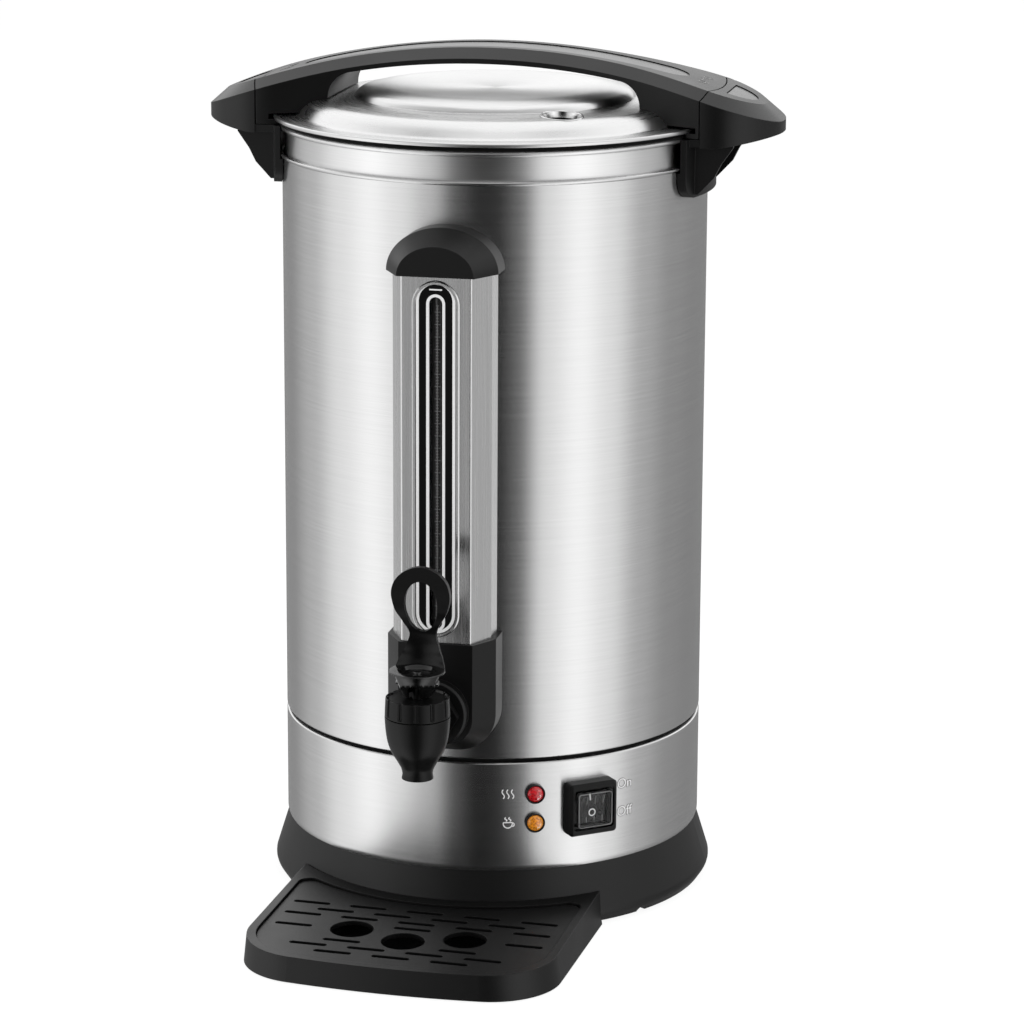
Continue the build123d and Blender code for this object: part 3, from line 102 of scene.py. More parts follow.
# -------------------- shader nodes
class Nodes:
    """Adds nodes to a tree; a socket given as an input is linked, any other value is set."""

    def __init__(self, tree):
        self.tree = tree

    def add(self, kind, inputs=None, **settings):
        node = self.tree.nodes.new("ShaderNode" + kind)
        for name, value in settings.items():
            setattr(node, name, value)
        for socket, value in (inputs or {}).items():
            self.put(node, socket, value)
        return node

    def put(self, node, socket, value):
        if isinstance(value, bpy.types.NodeSocket):
            self.tree.links.new(value, node.inputs[socket])
        else:
            node.inputs[socket].default_value = value

    def math(self, operation, first, second=0.0):
        return self.add("Math", {0: first, 1: second}, operation=operation).outputs[0]

    def blend(self, first, second, share):
        """A share of the first value, and the rest from the second."""
        parts = self.math("MULTIPLY", first, share), self.math("MULTIPLY", second, 1 - share)
        return self.math("ADD", *parts)

    def spread(self, value, low, high, to_low=0.0, to_high=1.0):
        """Maps low..high to to_low..to_high, held at the ends."""
        inputs = {"Value": value, "From Min": low, "From Max": high, "To Min": to_low, "To Max": to_high}
        return self.add("MapRange", inputs, interpolation_type="SMOOTHSTEP").outputs[0]

    def ramp(self, value, stops, interpolation="EASE"):
        ramp = self.add("ValToRGB", {"Fac": value})
        ramp.color_ramp.interpolation = interpolation
        elements = ramp.color_ramp.elements
        elements[0].position, elements[-1].position = stops[0][0], stops[-1][0]
        for place, level in stops[1:-1]:
            elements.new(place)
        for element, (place, level) in zip(elements, stops):
            element.color = (level, level, level, 1)
        return ramp.outputs["Color"]

    def mix(self, amount, first, second):
        """A mix of two colours, which are sockets 6 and 7 of a colour mix; its colour is output 2."""
        return self.add("Mix", {0: amount, 6: first, 7: second}, data_type="RGBA").outputs[2]

    def noise(self, place, scale, detail=2.0, roughness=0.5):
        """Noise over a place socket, with its own scale along each axis."""
        mapped = self.add("Mapping", {"Vector": place, "Scale": scale}).outputs[0]
        inputs = {"Vector": mapped, "Scale": 1.0, "Detail": detail, "Roughness": roughness}
        return self.add("TexNoise", inputs).outputs["Fac"]


class Finish(Nodes):
    """A material with a Principled shader, whose plain values are set on its own sockets."""

    def __init__(self, name, colour, **values):
        self.material = bpy.data.materials.new(name)
        self.material.use_nodes = True
        super().__init__(self.material.node_tree)
        self.shader = self.tree.nodes["Principled BSDF"]
        self.shader.inputs["Base Color"].default_value = (*colour, 1)
        self.place = self.add("TexCoord").outputs["Object"]
        for socket, value in values.items():
            self.shader.inputs[socket.replace("_", " ")].default_value = value

    def grain(self, scale, detail=2.0, roughness=0.5):
        """Noise of the same scale along all axes."""
        return self.noise(self.place, (scale, scale, scale), detail, roughness)

    def colour(self, amount, first, second, low=0.35, high=0.65):
        """Base colour varies between two colours as an amount goes from low to high."""
        share = self.spread(amount, low, high)
        self.put(self.shader, "Base Color", self.mix(share, (*first, 1), (*second, 1)))

    def roughness(self, amount, low, high):
        self.put(self.shader, "Roughness", self.spread(amount, 0.3, 0.7, low, high))

    def brushed_round(self):
        """Stretches highlights across lines that go round the urn's axis."""
        tangent = self.add("Tangent", direction_type="RADIAL", axis="Z").outputs[0]
        self.put(self.shader, "Tangent", tangent)

    def bump(self, height, depth, edge=0.0):
        """Bump of a depth in metres; edge is the radius that the shader gives to sharp edges."""
        inputs = {"Height": height, "Distance": depth, "Strength": 1.0}
        if edge:
            inputs["Normal"] = self.add("Bevel", {"Radius": edge}, samples=4).outputs[0]
        self.put(self.shader, "Normal", self.add("Bump", inputs).outputs[0])


def grey(level):
    return (level, level, level)


def turned_place(finish):
    """A place whose x and y go round the axis and whose z is height plus radius; and the radius."""
    split = finish.add("SeparateXYZ", {0: finish.place})
    flat = finish.add("CombineXYZ", {"X": split.outputs["X"], "Y": split.outputs["Y"], "Z": 0.0}).outputs[0]
    round_way = finish.add("VectorMath", {0: flat}, operation="NORMALIZE").outputs[0]
    radius = finish.add("VectorMath", {0: flat}, operation="LENGTH").outputs["Value"]
    round_split = finish.add("SeparateXYZ", {0: round_way})
    across = finish.math("ADD", radius, split.outputs["Z"])
    inputs = {"X": round_split.outputs["X"], "Y": round_split.outputs["Y"], "Z": across}
    return finish.add("CombineXYZ", inputs).outputs[0], radius


def brushed_steel(name="brushed_steel", upright=False, level=0.63, rough=(0.23, 0.27)):
    """Stainless sheet with fine brush lines, round the urn or upright."""
    finish = Finish(name, grey(level), Metallic=1.0, Roughness=0.25, Anisotropic=0.8)
    if upright:
        lines = finish.noise(finish.place, (3400, 3400, 16), 2, 0.5)
        wide = finish.noise(finish.place, (700, 700, 4), 2)
    else:
        finish.shader.inputs["Anisotropic Rotation"].default_value = 0.25
        place = turned_place(finish)[0]
        lines = finish.noise(place, (2.4, 2.4, 3400), 2, 0.5)
        wide = finish.noise(place, (0.8, 0.8, 700), 2)
    finish.brushed_round()
    both = finish.blend(lines, wide, 0.75)
    finish.colour(both, grey(level * 0.97), grey(level * 1.03), 0.3, 0.7)
    finish.roughness(both, *rough)
    finish.bump(lines, 0.0012 * MM)
    return finish.material


def lid_steel():
    """The lid: a smooth disc and edge, with a ring turned to a satin finish between them."""
    finish = Finish("lid_steel", grey(0.66), Metallic=1.0, Anisotropic=0.6, Anisotropic_Rotation=0.25)
    finish.brushed_round()
    place, radius = turned_place(finish)
    lines = finish.noise(place, (5, 5, 3000), 3, 0.6)
    outside_disc = finish.spread(radius, 71.6 * MM, 72.6 * MM)
    inside_edge = finish.spread(radius, 112.2 * MM, 112.8 * MM, 1.0, 0.0)
    satin = finish.math("MULTIPLY", outside_disc, inside_edge)
    rough_lines = finish.spread(lines, 0.3, 0.7, 0.24, 0.36)
    rough = finish.add("MapRange", {"Value": satin, "To Min": 0.3, "To Max": rough_lines}).outputs[0]
    finish.put(finish.shader, "Roughness", rough)
    # painted shade: the flat part of the ring is darker than the disc, and than the ring's own slope, in
    # place of its dimmer reflection
    flat = finish.math("MULTIPLY", outside_disc, finish.spread(radius, 90 * MM, 93 * MM, 1.0, 0.0))
    bright_lines = finish.spread(lines, 0.35, 0.65, 0.64, 0.69)
    painted_shade_lines = finish.spread(lines, 0.35, 0.65, 0.46, 0.56)
    shades = {"Value": flat, "To Min": bright_lines, "To Max": painted_shade_lines}
    shade = finish.add("MapRange", shades).outputs[0]
    colour = finish.add("CombineColor", {0: shade, 1: shade, 2: shade}).outputs[0]
    finish.put(finish.shader, "Base Color", colour)
    finish.bump(finish.math("MULTIPLY", lines, satin), 0.003 * MM)
    return finish.material


def polished_steel():
    """Smooth drawn steel, with faint drawing lines round the urn."""
    finish = Finish("polished_steel", grey(0.68), Metallic=1.0, Roughness=0.16)
    lines = finish.noise(turned_place(finish)[0], (4, 4, 1500), 2, 0.6)
    finish.roughness(lines, 0.13, 0.2)
    finish.colour(lines, grey(0.63), grey(0.71))
    return finish.material


def cast_metal(name, colour, rough, grain=900, depth=0.02):
    """Plated, pressed or cast metal with a fine grain and faint stains."""
    finish = Finish(name, colour, Metallic=1.0, Roughness=rough)
    fine = finish.grain(grain, 3)
    stain = finish.grain(60, 3)
    finish.roughness(fine, rough * 0.85, rough * 1.2)
    finish.colour(stain, colour, tuple(0.82 * c for c in colour), 0.35, 0.7)
    finish.bump(fine, depth * MM)
    return finish.material


def moulded(name, colour, rough, grain=2600, depth=0.012, edge=0.5 * MM, **values):
    """Moulded plastic or rubber: a fine eroded grain, faint flow marks and soft edges."""
    finish = Finish(name, colour, Roughness=rough, **values)
    fine = finish.grain(grain, 3, 0.6)
    flow = finish.grain(35, 3)
    finish.roughness(finish.blend(fine, flow, 0.6), rough * 0.88, rough * 1.12)
    finish.colour(flow, colour, tuple(0.86 * c for c in colour))
    finish.bump(fine, depth * MM, edge)
    return finish.material


def black_moulding(name, level, rough, shine, **values):
    """Black moulded plastic; shine is how strongly it mirrors."""
    return moulded(name, grey(level), rough, Specular_IOR_Level=shine, **values)


def clear(name, colour, rough=0.04, ior=1.49):
    """Clear moulded plastic or glass, with faint waviness."""
    finish = Finish(name, colour, Roughness=rough, IOR=ior, Transmission_Weight=1.0)
    wave = finish.grain(220)
    finish.roughness(wave, rough * 0.7, rough * 1.5)
    finish.bump(wave, 0.01 * MM)
    return finish.material


def gauge_glass():
    """The sight tube: glass made near-black and only partly clear, so that it reads dark when it is empty;
    its darkness is painted shade inside the tube.
    """
    # painted shade: the glass's own near-black colour stands for the dark inside of the tube
    finish = Finish("gauge_glass", grey(0.035), Roughness=0.07, IOR=1.47, Transmission_Weight=0.25,
                    Coat_Weight=0.6, Coat_Roughness=0.04)
    wave = finish.noise(finish.place, (500, 500, 40), 2)
    finish.colour(wave, grey(0.03), grey(0.045))
    finish.roughness(wave, 0.06, 0.12)
    return finish.material


def lamp_lens(name, deep, bright):
    """Tinted lamp lens, unlit: a faint painted glow, and painted glints as a play of deep and bright cells.
    """
    # painted glow: a weak emission, though the lamp is off
    finish = Finish(name, bright, Roughness=0.12, IOR=1.49, Transmission_Weight=0.35, Coat_Weight=0.8,
                    Emission_Strength=0.12)
    # painted glints: bright and deep cells across the lens
    painted_glint_cells = finish.add("TexVoronoi", {"Vector": finish.place, "Scale": 900.0}).outputs["Distance"]
    finish.colour(painted_glint_cells, deep, bright, 0.1, 0.7)
    finish.roughness(finish.grain(900), 0.08, 0.2)
    # the painted glow takes the lens's bright colour
    finish.put(finish.shader, "Emission Color", (*bright, 1))
    return finish.material


def print_ink(name, colour, rough=0.5):
    """Printed or filled marks, with a faintly uneven coat."""
    finish = Finish(name, colour, Roughness=rough)
    patch = finish.grain(1500)
    finish.colour(patch, colour, tuple(0.9 * c for c in colour))
    finish.roughness(patch, rough * 0.85, rough * 1.15)
    return finish.material


CRISP = {"depth": 0.004, "edge": 0.3 * MM}    # a finer grain and sharper edges than other mouldings have
SLOT_FINISHES = {
    "brushed_steel": brushed_steel(),
    "polished_steel": polished_steel(),
    "zinc_steel": cast_metal("zinc_steel", (0.55, 0.55, 0.53), 0.34),
    "black_plastic": black_moulding("black_plastic", 0.0035, 0.36, 0.3),
    "black_gloss_plastic": black_moulding("black_gloss_plastic", 0.003, 0.26, 0.3, **CRISP),
    "grey_inlay": moulded("grey_inlay", grey(0.07), 0.3, depth=0.006, edge=0.2 * MM),
    "clear_plastic": clear("clear_plastic", grey(0.97), 0.03, 1.2),
    "gauge_glass": gauge_glass(),
    "lamp_red_lens": lamp_lens("lamp_red_lens", (0.16, 0.004, 0.006), (0.62, 0.012, 0.02)),
    "lamp_amber_lens": lamp_lens("lamp_amber_lens", (0.3, 0.09, 0.006), (0.85, 0.34, 0.02)),
    "silicone": moulded("silicone", grey(0.6), 0.5, 1500, 0.01),
    "rubber": moulded("rubber", grey(0.02), 0.62, 1800, 0.02),
    "aluminium": cast_metal("aluminium", (0.72, 0.73, 0.74), 0.4, 700, 0.03),
    "brass": cast_metal("brass", (0.72, 0.5, 0.22), 0.3),
    "element_sheath": cast_metal("element_sheath", (0.36, 0.35, 0.33), 0.45, 500, 0.03),
    "grate_steel": cast_metal("grate_steel", (0.6, 0.6, 0.6), 0.3),
}
SEAM_BLACK = black_moulding("seam_black", 0.002, 0.6, 0.1)
LEVER_GLOSS = black_moulding("lever_gloss", 0.003, 0.14, 0.6, depth=0.003, edge=0.3 * MM)
TAP_BLACK = black_moulding("tap_black", 0.003, 0.3, 0.2, **CRISP)
# nodes whose finish differs from that of their slot
NODE_FINISHES = {
    "inner_tank": brushed_steel("neck_steel", level=0.72, rough=(0.29, 0.33)),
    # painted shade: the stem, polished steel by its slot, is made black so that the slot in the lever's foot
    # reads dark
    "tap_stem": SLOT_FINISHES["black_plastic"],
    "tap_body": TAP_BLACK,
    "tap_union": SEAM_BLACK,
    "seam_ring": SEAM_BLACK,
    "switch_frame": black_moulding("switch_black", 0.002, 0.42, 0.2),
    "lid_shell": lid_steel(),
    "column_cover": brushed_steel("column_steel", upright=True, level=0.66, rough=(0.22, 0.28)),
}


def dress_frame():
    """Gives every CAD node its own finish, or that of its slot."""
    slots = {part["node"]: part["material_slot"] for part in frame["record"]["subparts"]}
    for name, node in frame["nodes"].items():
        node.data.materials.clear()
        node.data.materials.append(NODE_FINISHES.get(name) or SLOT_FINISHES[slots[name]])


# -------------------- pieces
SHARP_ANGLE = 32                  # degrees between faces that still shade as one surface
ROUND_STEPS, TAP_STEPS, SMALL_STEPS = 360, 96, 64    # sides of the urn's, the tap's and small round forms


def flat_place(matrix):
    """A place that a matrix gives to points of a flat drawing and the level above it."""
    return lambda x, y, level: matrix @ Vector((x, y, level))


def wall_frame(azimuth, radius, height):
    """Matrix of a plane that faces outward: x to the right, y up, z outward."""
    turn = radians(azimuth)
    right, up = Vector((cos(turn), sin(turn), 0)), Vector((0, 0, 1))
    out = Vector((sin(turn), -cos(turn), 0))
    place = Matrix((right, up, out)).transposed().to_4x4()
    place.translation = out * radius + up * height
    return place


def finish_piece(name, mesh, material, body, slot, smooth=False):
    """Makes an object of a bmesh and rides it on a body; the slot of its finish is not used."""
    bmesh.ops.recalc_face_normals(mesh, faces=mesh.faces)
    data = bpy.data.meshes.new(name)
    mesh.to_mesh(data)
    mesh.free()
    for face in data.polygons:
        face.use_smooth = smooth
    if smooth:
        data.set_sharp_from_angle(angle=radians(SHARP_ANGLE))
    data.materials.append(material)
    piece = bpy.data.objects.new(name, data)
    bpy.context.scene.collection.objects.link(piece)
    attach(piece, body)
    return piece


def rounded(corners, steps=5):
    """Points along (radius, height, rounding) corners of a closed profile, in millimetres."""
    points = []
    for index, (radius, height, rounding) in enumerate(corners):
        corner = Vector((radius, height)) * MM
        if not rounding:
            points.append(corner)
            continue
        before, after = (Vector(corners[k % len(corners)][:2]) * MM for k in (index - 1, index + 1))
        start = corner + (before - corner).normalized() * rounding * MM
        end = corner + (after - corner).normalized() * rounding * MM
        for step in range(steps + 1):
            share = step / steps
            points.append(start * (1 - share) ** 2 + corner * 2 * share * (1 - share) + end * share ** 2)
    return points


def add_turned(mesh, profile, place, steps):
    """A closed body of revolution round the z of a place, from a closed (radius, height) profile."""
    rings = []
    for radius, height in profile:
        count = 1 if radius < 1e-7 else steps
        turns = [2 * pi * k / steps for k in range(count)]
        rings.append([mesh.verts.new(place(radius * cos(t), radius * sin(t), height)) for t in turns])
    for first, second in zip(rings, rings[1:] + rings[:1]):
        if len(first) == len(second) == 1:
            continue
        for k in range(steps):
            after = (k + 1) % steps
            corners = (first[k % len(first)], first[after % len(first)],
                       second[after % len(second)], second[k % len(second)])
            mesh.faces.new(list(dict.fromkeys(corners)))


def cut(piece, cutter_mesh):
    """Takes a closed form away from a piece."""
    data = bpy.data.meshes.new("cutter")
    bmesh.ops.recalc_face_normals(cutter_mesh, faces=cutter_mesh.faces)
    cutter_mesh.to_mesh(data)
    cutter_mesh.free()
    cutter = bpy.data.objects.new("cutter", data)
    bpy.context.scene.collection.objects.link(cutter)
    modifier = piece.modifiers.new("cut", "BOOLEAN")
    modifier.operation, modifier.object, modifier.solver = "DIFFERENCE", cutter, "EXACT"
    bpy.context.view_layer.update()
    shaped = bpy.data.meshes.new_from_object(piece.evaluated_get(bpy.context.evaluated_depsgraph_get()))
    piece.modifiers.clear()
    piece.data = shaped
    bpy.data.objects.remove(cutter)
    shaped.set_sharp_from_angle(angle=radians(SHARP_ANGLE))


def turned_piece(name, profile, material, body, slot, place=None, steps=ROUND_STEPS):
    """A piece turned round the z of a place, or round the urn's own axis."""
    mesh = bmesh.new()
    add_turned(mesh, profile, place or flat_place(Matrix()), steps)
    return finish_piece(name, mesh, material, body, slot, True)


def stadium(wide, tall, middle, steps=14):
    """Points round an upright slot shape, with its middle at a height."""
    radius, straight = wide / 2, tall / 2 - wide / 2
    points = []
    for end, start in ((straight, 0), (-straight, pi)):
        for step in range(steps + 1):
            angle = start + pi * step / steps
            points.append((radius * cos(angle), end + radius * sin(angle) + middle))
    return points


def add_band(mesh, outer, inner, place, low, high):
    """A closed ring between two outlines with the same number of points, from low to high."""
    corners = [
        [mesh.verts.new(place(x, y, level)) for x, y in outline]
        for outline, level in ((outer, low), (outer, high), (inner, high), (inner, low))
    ]
    count = len(outer)
    for loop in range(4):
        first, second = corners[loop], corners[(loop + 1) % 4]
        for index in range(count):
            after = (index + 1) % count
            mesh.faces.new((first[index], first[after], second[after], second[index]))


def add_plate(mesh, outline, place, low, high):
    """A closed flat piece of an outline, from low to high."""
    bottom = [mesh.verts.new(place(x, y, low)) for x, y in outline]
    top = [mesh.verts.new(place(x, y, high)) for x, y in outline]
    mesh.faces.new(top)
    mesh.faces.new(list(reversed(bottom)))
    count = len(outline)
    for index in range(count):
        after = (index + 1) % count
        mesh.faces.new((bottom[index], bottom[after], top[after], top[index]))


def line_outline(start, end, width):
    """The outline of a straight stroke."""
    along = Vector(end) - Vector(start)
    side = Vector((-along.y, along.x)).normalized() * width / 2
    return [tuple(Vector(p) + s) for p, s in ((start, -side), (end, -side), (end, side), (start, side))]


def add_line(mesh, start, end, width, place, low, high):
    """A straight stroke in one closed piece."""
    add_plate(mesh, line_outline(start, end, width), place, low, high)


def wrapped_place(radius, azimuth, height, axis=(0, 0)):
    """Bends a flat drawing round an upright cylinder."""
    def place(x, y, level):
        turn = radians(azimuth) + x / radius
        reach = radius + level
        return Vector((axis[0] + reach * sin(turn), axis[1] - reach * cos(turn), height + y))
    return place


def arc_points(centre, radius, start, end, steps):
    """Points along an arc, with both of its ends."""
    return [
        (centre[0] + radius * cos(start + (end - start) * k / steps),
         centre[1] + radius * sin(start + (end - start) * k / steps))
        for k in range(steps + 1)
    ]


def add_stroke(mesh, points, width, place, low, high):
    """A stroke of even width along points, a closed piece from each point to the next."""
    lefts, rights = [], []
    for index, point in enumerate(points):
        before = Vector(points[max(index - 1, 0)])
        after = Vector(points[min(index + 1, len(points) - 1)])
        along = (after - before).normalized()
        side = Vector((-along.y, along.x)) * width / 2
        lefts.append(Vector(point) + side)
        rights.append(Vector(point) - side)
    for index in range(len(points) - 1):
        quad = (lefts[index], rights[index], rights[index + 1], lefts[index + 1])
        add_plate(mesh, [tuple(corner) for corner in quad], place, low, high)


def circle_points(centre, radius, steps=24):
    """Points round a whole circle."""
    last = steps - 1
    return arc_points(centre, radius, 0, 2 * pi * last / steps, last)


def box_outline(half_wide, half_tall, corner):
    """Points round a box with rounded corners."""
    points = []
    for quarter, (x, y) in enumerate(((1, 1), (-1, 1), (-1, -1), (1, -1))):
        middle = (x * (half_wide - corner), y * (half_tall - corner))
        points += arc_points(middle, corner, quarter * pi / 2, (quarter + 1) * pi / 2, 5)
    return points


def lid_pressing():
    """The lid's pressed sheet: dished disc, satin ring with a round crest, and a rolled edge."""
    top = (
        (0, 419.0, 0), (61.0, 420.9, 7), (70.6, 418.2, 2.2), (72.4, 415.2, 0.6), (74, 414.9, 1),
        (95.8, 414.0, 5.6), (103.0, 406.2, 1.8), (112.2, 406.0, 0.6), (113.0, 406.5, 0.4),
        (114.4, 406.5, 0.7), (114.7, 404.5, 0.7), (113.0, 404.5, 0.4), (112.4, 405.3, 0),
    )
    underside = (
        (102.2, 405.4, 1.2), (95.2, 413.1, 4.6), (74, 414.0, 1), (71.6, 414.4, 0.3), (69.9, 417.3, 1.5),
        (60.8, 420.0, 6), (0, 418.2, 0),
    )
    profile, steel = rounded(top + underside), NODE_FINISHES["lid_shell"]
    piece = turned_piece("lid_pressing", profile, steel, "lid", "brushed_steel")
    hole = bmesh.new()
    drill = rounded(((0, -8, 0), (VENT_OUT, -8, 0), (VENT_OUT, 6, 0), (0, 6, 0)))
    add_turned(hole, drill, vent_place(), SMALL_STEPS)
    cut(piece, hole)
    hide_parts("lid_shell")


def vent_place():
    """The vent's own place on the lid's ring, which slopes a little outward."""
    slope = Matrix.Rotation(radians(VENT_SLOPE - 90), 4, "X")
    return flat_place(wall_frame(VENT_AZIMUTH, VENT_RING_R, VENT_Z) @ slope)


def vent_pieces():
    """The vent: a polished funnel in the lid's ring, over a near-black throat that stands in for the shade
    inside the vent.
    """
    funnel = rounded((
        (VENT_OUT - 0.3, -2.9, 0), (VENT_OUT + 0.7, 0.1, 0), (VENT_OUT + 0.5, 0.6, 0.3),
        (VENT_OUT - 0.4, 0.5, 0.4), (VENT_IN, -1.9, 0.8), (VENT_IN - 0.2, -2.9, 0),
    ))
    throat = rounded((
        (VENT_OUT - 0.3, -2.7, 0), (VENT_IN - 0.7, -2.7, 0), (VENT_IN - 0.9, -5.4, 0.5), (0, -5.6, 0),
        (0, -6.3, 0), (VENT_OUT - 0.6, -6.3, 0),
    ))
    steel, vent = SLOT_FINISHES["polished_steel"], vent_place()
    piece = turned_piece("vent_funnel", funnel, steel, "lid", "polished_steel", vent, SMALL_STEPS)
    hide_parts("vent_collar")
    # painted shade: a near-black sleeve and plug in place of the shade inside the vent
    turned_piece("vent_throat", throat, SEAM_BLACK, "lid", "black_plastic", vent, SMALL_STEPS)


def bead_profile(middle, height, radius, steps=24):
    """The round profile of a bead that goes round the urn, from millimetres."""
    turns = [2 * pi * k / steps for k in range(steps)]
    return [Vector((middle + radius * cos(t), height + radius * sin(t))) * MM for t in turns]


def smooth_rings():
    """Rings laid over the tank's rim, the shell's bead and the lid's gasket, without facets."""
    neck, steel = NODE_FINISHES["inner_tank"], SLOT_FINISHES["brushed_steel"]
    gasket = rounded(((109.6, 402.15, 0), (110.7, 402.15, 0.3), (110.7, 404.2, 0.3), (109.6, 404.2, 0)))
    turned_piece("rim_bead", bead_profile(109.9, 400.6, 1.36), neck, "urn_body", "polished_steel")
    turned_piece("shell_bead", bead_profile(110.2, 386.2, 1.17), steel, "urn_body", "brushed_steel")
    # painted shade: the gasket's edge is near-black, not pale like its silicone, for the dark gap under the
    # lid's flange
    turned_piece("gasket_edge", gasket, SEAM_BLACK, "lid", "silicone")


# azimuth and height of the lower shell's openings; half width, half height and corner in millimetres
SHELL_OPENINGS = (
    (180, INLET_Z, 13.8, 10.3, 2.0),
    (SWITCH_AZIMUTH, SWITCH_Z, 11.5, 11.8, 0.8),
    *((LAMP_AZIMUTH, height, 4.2, 4.2, 4.19) for height in LAMP_HEIGHTS.values()),
)
CUT_REACH = 8 * MM    # how far the openings' cutters go to each side of the shell's face


def brushed_skins():
    """The two brushed shells without facets; the lower one is open for inlet, switch and lamps."""
    steel = SLOT_FINISHES["brushed_steel"]
    upper = rounded((
        (106.8, 91.4, 0), (110.0, 91.4, 1.2), (110.0, 386.2, 0), (109.2, 386.2, 0), (109.2, 92.2, 0.6),
        (106.8, 92.2, 0),
    ))
    lower = rounded((
        (106.8, 89.4, 0), (110.0, 89.4, 1.2), (110.0, 33.4, 1.2), (109.3, 31.6, 0.2), (108.9, 31.9, 0),
        (109.2, 33.8, 0), (109.2, 88.6, 0.6), (106.8, 88.6, 0),
    ))
    piece = turned_piece("upper_skin", upper, steel, "urn_body", "brushed_steel")
    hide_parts("outer_shell")
    piece = turned_piece("lower_skin", lower, steel, "urn_body", "brushed_steel")
    for azimuth, height, half_wide, half_tall, corner in SHELL_OPENINGS:
        hole = bmesh.new()
        outline = box_outline(half_wide * MM, half_tall * MM, corner * MM)
        add_plate(hole, outline, flat_place(wall_frame(azimuth, BODY_R, height)), -CUT_REACH, CUT_REACH)
        cut(piece, hole)
    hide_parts("lower_shell")


def upright(x, y, z):
    """A place round the tap's own axis."""
    return Vector((x, y - TAP_Y, z))


def tap_shell():
    """The tap's turned body and spout, with a neck towards its union."""
    body = bmesh.new()
    add_turned(body, rounded((
        (5.6, 101.0, 0), (7.9, 101.0, 0.3), (7.4, 103.5, 0.8), (8.0, 106.3, 1), (10.0, 109.9, 2),
        (13.2, 115.1, 2.4), (14.9, 120.1, 2.2), (15.8, 126.1, 2.4), (16.2, 132.8, 0.3), (12.8, 132.8, 0),
        (12.8, 141, 0), (11.5, 141, 0), (11.5, 122, 0), (7.3, 115, 0), (7.3, 112, 0), (4.6, 112, 0),
        (4.6, 111, 0), (5.6, 109.5, 0),
    )), upright, TAP_STEPS)

    def toward_urn(x, y, z):
        return Vector((x, z - TAP_Y, y + TAP_Z))

    add_turned(body, rounded((
        (8.0, 13.0, 0), (9.3, 13.0, 0), (9.3, TAP_REACH, 0.4), (7.5, TAP_REACH, 0), (7.5, TAP_REACH - 8, 0),
        (8.0, TAP_REACH - 8, 0),
    )), toward_urn, SMALL_STEPS)
    piece = finish_piece("tap_shell", body, TAP_BLACK, "urn_body", "black_gloss_plastic", True)
    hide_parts("tap_body")


def tap_ring():
    """The bonnet, with upright grooves round its wall that end in a round foot."""
    profile = rounded((
        (13.1, 133.2, 0), (16.1, 133.2, 0.3), (16.05, 135.0, 0), (16.0, 137.0, 0), (15.9, 139.0, 0),
        (15.8, 141.0, 0), (15.75, 142.6, 0.5), (14.9, 142.6, 0.4), (14.2, 141.8, 0.6), (2.7, 141.6, 0),
        (2.7, 141.1, 0), (13.1, 141.1, 0),
    ), 3)
    groove_foot, groove_half, groove_deep = 134.9 * MM, 1.1 * MM, 1.0 * MM
    pitch = 2 * pi / GROOVES

    def grooved(x, y, z):
        radius = sqrt(x * x + y * y)
        if radius < 14.8 * MM:    # inside the wall
            return upright(x, y, z)
        turn = (atan2(y, x) - radians(GROOVE_TURN - 90)) % pitch
        across = min(turn, pitch - turn) * radius
        below = max(groove_foot - z, 0.0)
        fall = 1 - (across ** 2 + below ** 2) / groove_half ** 2
        share = 1 - groove_deep * sqrt(max(fall, 0.0)) / radius
        return upright(x * share, y * share, z)

    rows = []
    for first, second in zip(profile, profile[1:] + profile[:1]):
        on_wall = min(first.x, second.x) > 15 * MM and abs(second.y - first.y) > 0.8 * MM
        parts = 6 if on_wall else 1
        rows += [first.lerp(second, k / parts) for k in range(parts)]
    steps = GROOVES * 24
    piece = turned_piece("tap_ring", rows, TAP_BLACK, "urn_body", "black_gloss_plastic", grooved, steps)
    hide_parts("tap_bonnet")


def lever_foot():
    """The lever's round foot: a cone under a dish, with a slot in its front."""
    profile = rounded((
        (5.6, 143.5, 0), (7.2, 143.5, 0.4), (10.9, 153.0, 0.8), (11.2, 155.2, 0.3), (13.8, 155.2, 0.4),
        (13.8, 156.2, 0.4), (9.3, 156.2, 0.5), (8.3, 154.0, 0.8), (2.4, 153.8, 0.3), (2.0, 155.4, 0.4),
        (0, 155.5, 0), (0, 152.7, 0), (8.2, 152.7, 0), (8.6, 152.0, 0),
    ))
    gloss = "black_gloss_plastic"
    piece = turned_piece("lever_foot", profile, LEVER_GLOSS, "tap_lever", gloss, upright, TAP_STEPS)
    slot = bmesh.new()
    outline = [(x * MM, z * MM) for x, z in (
        (-3, 142), (3, 142), (3, 148.2), (2.1, 149.5), (0.8, 149.9), (-0.8, 149.9), (-2.1, 149.5),
        (-3, 148.2),
    )]
    add_plate(slot, outline, lambda x, z, level: Vector((x, -TAP_Y - level, z)), 2 * MM, 16 * MM)
    cut(piece, slot)
    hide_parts("tap_lever")


def table(rows, height):
    """A value read smoothly between the (height, value) rows of a list, in millimetres."""
    for (low, first), (high, second) in zip(rows, rows[1:]):
        if height <= high:
            share = min(max((height - low) / (high - low), 0), 1)
            return first + (second - first) * share * share * (3 - 2 * share)
    return rows[-1][1]


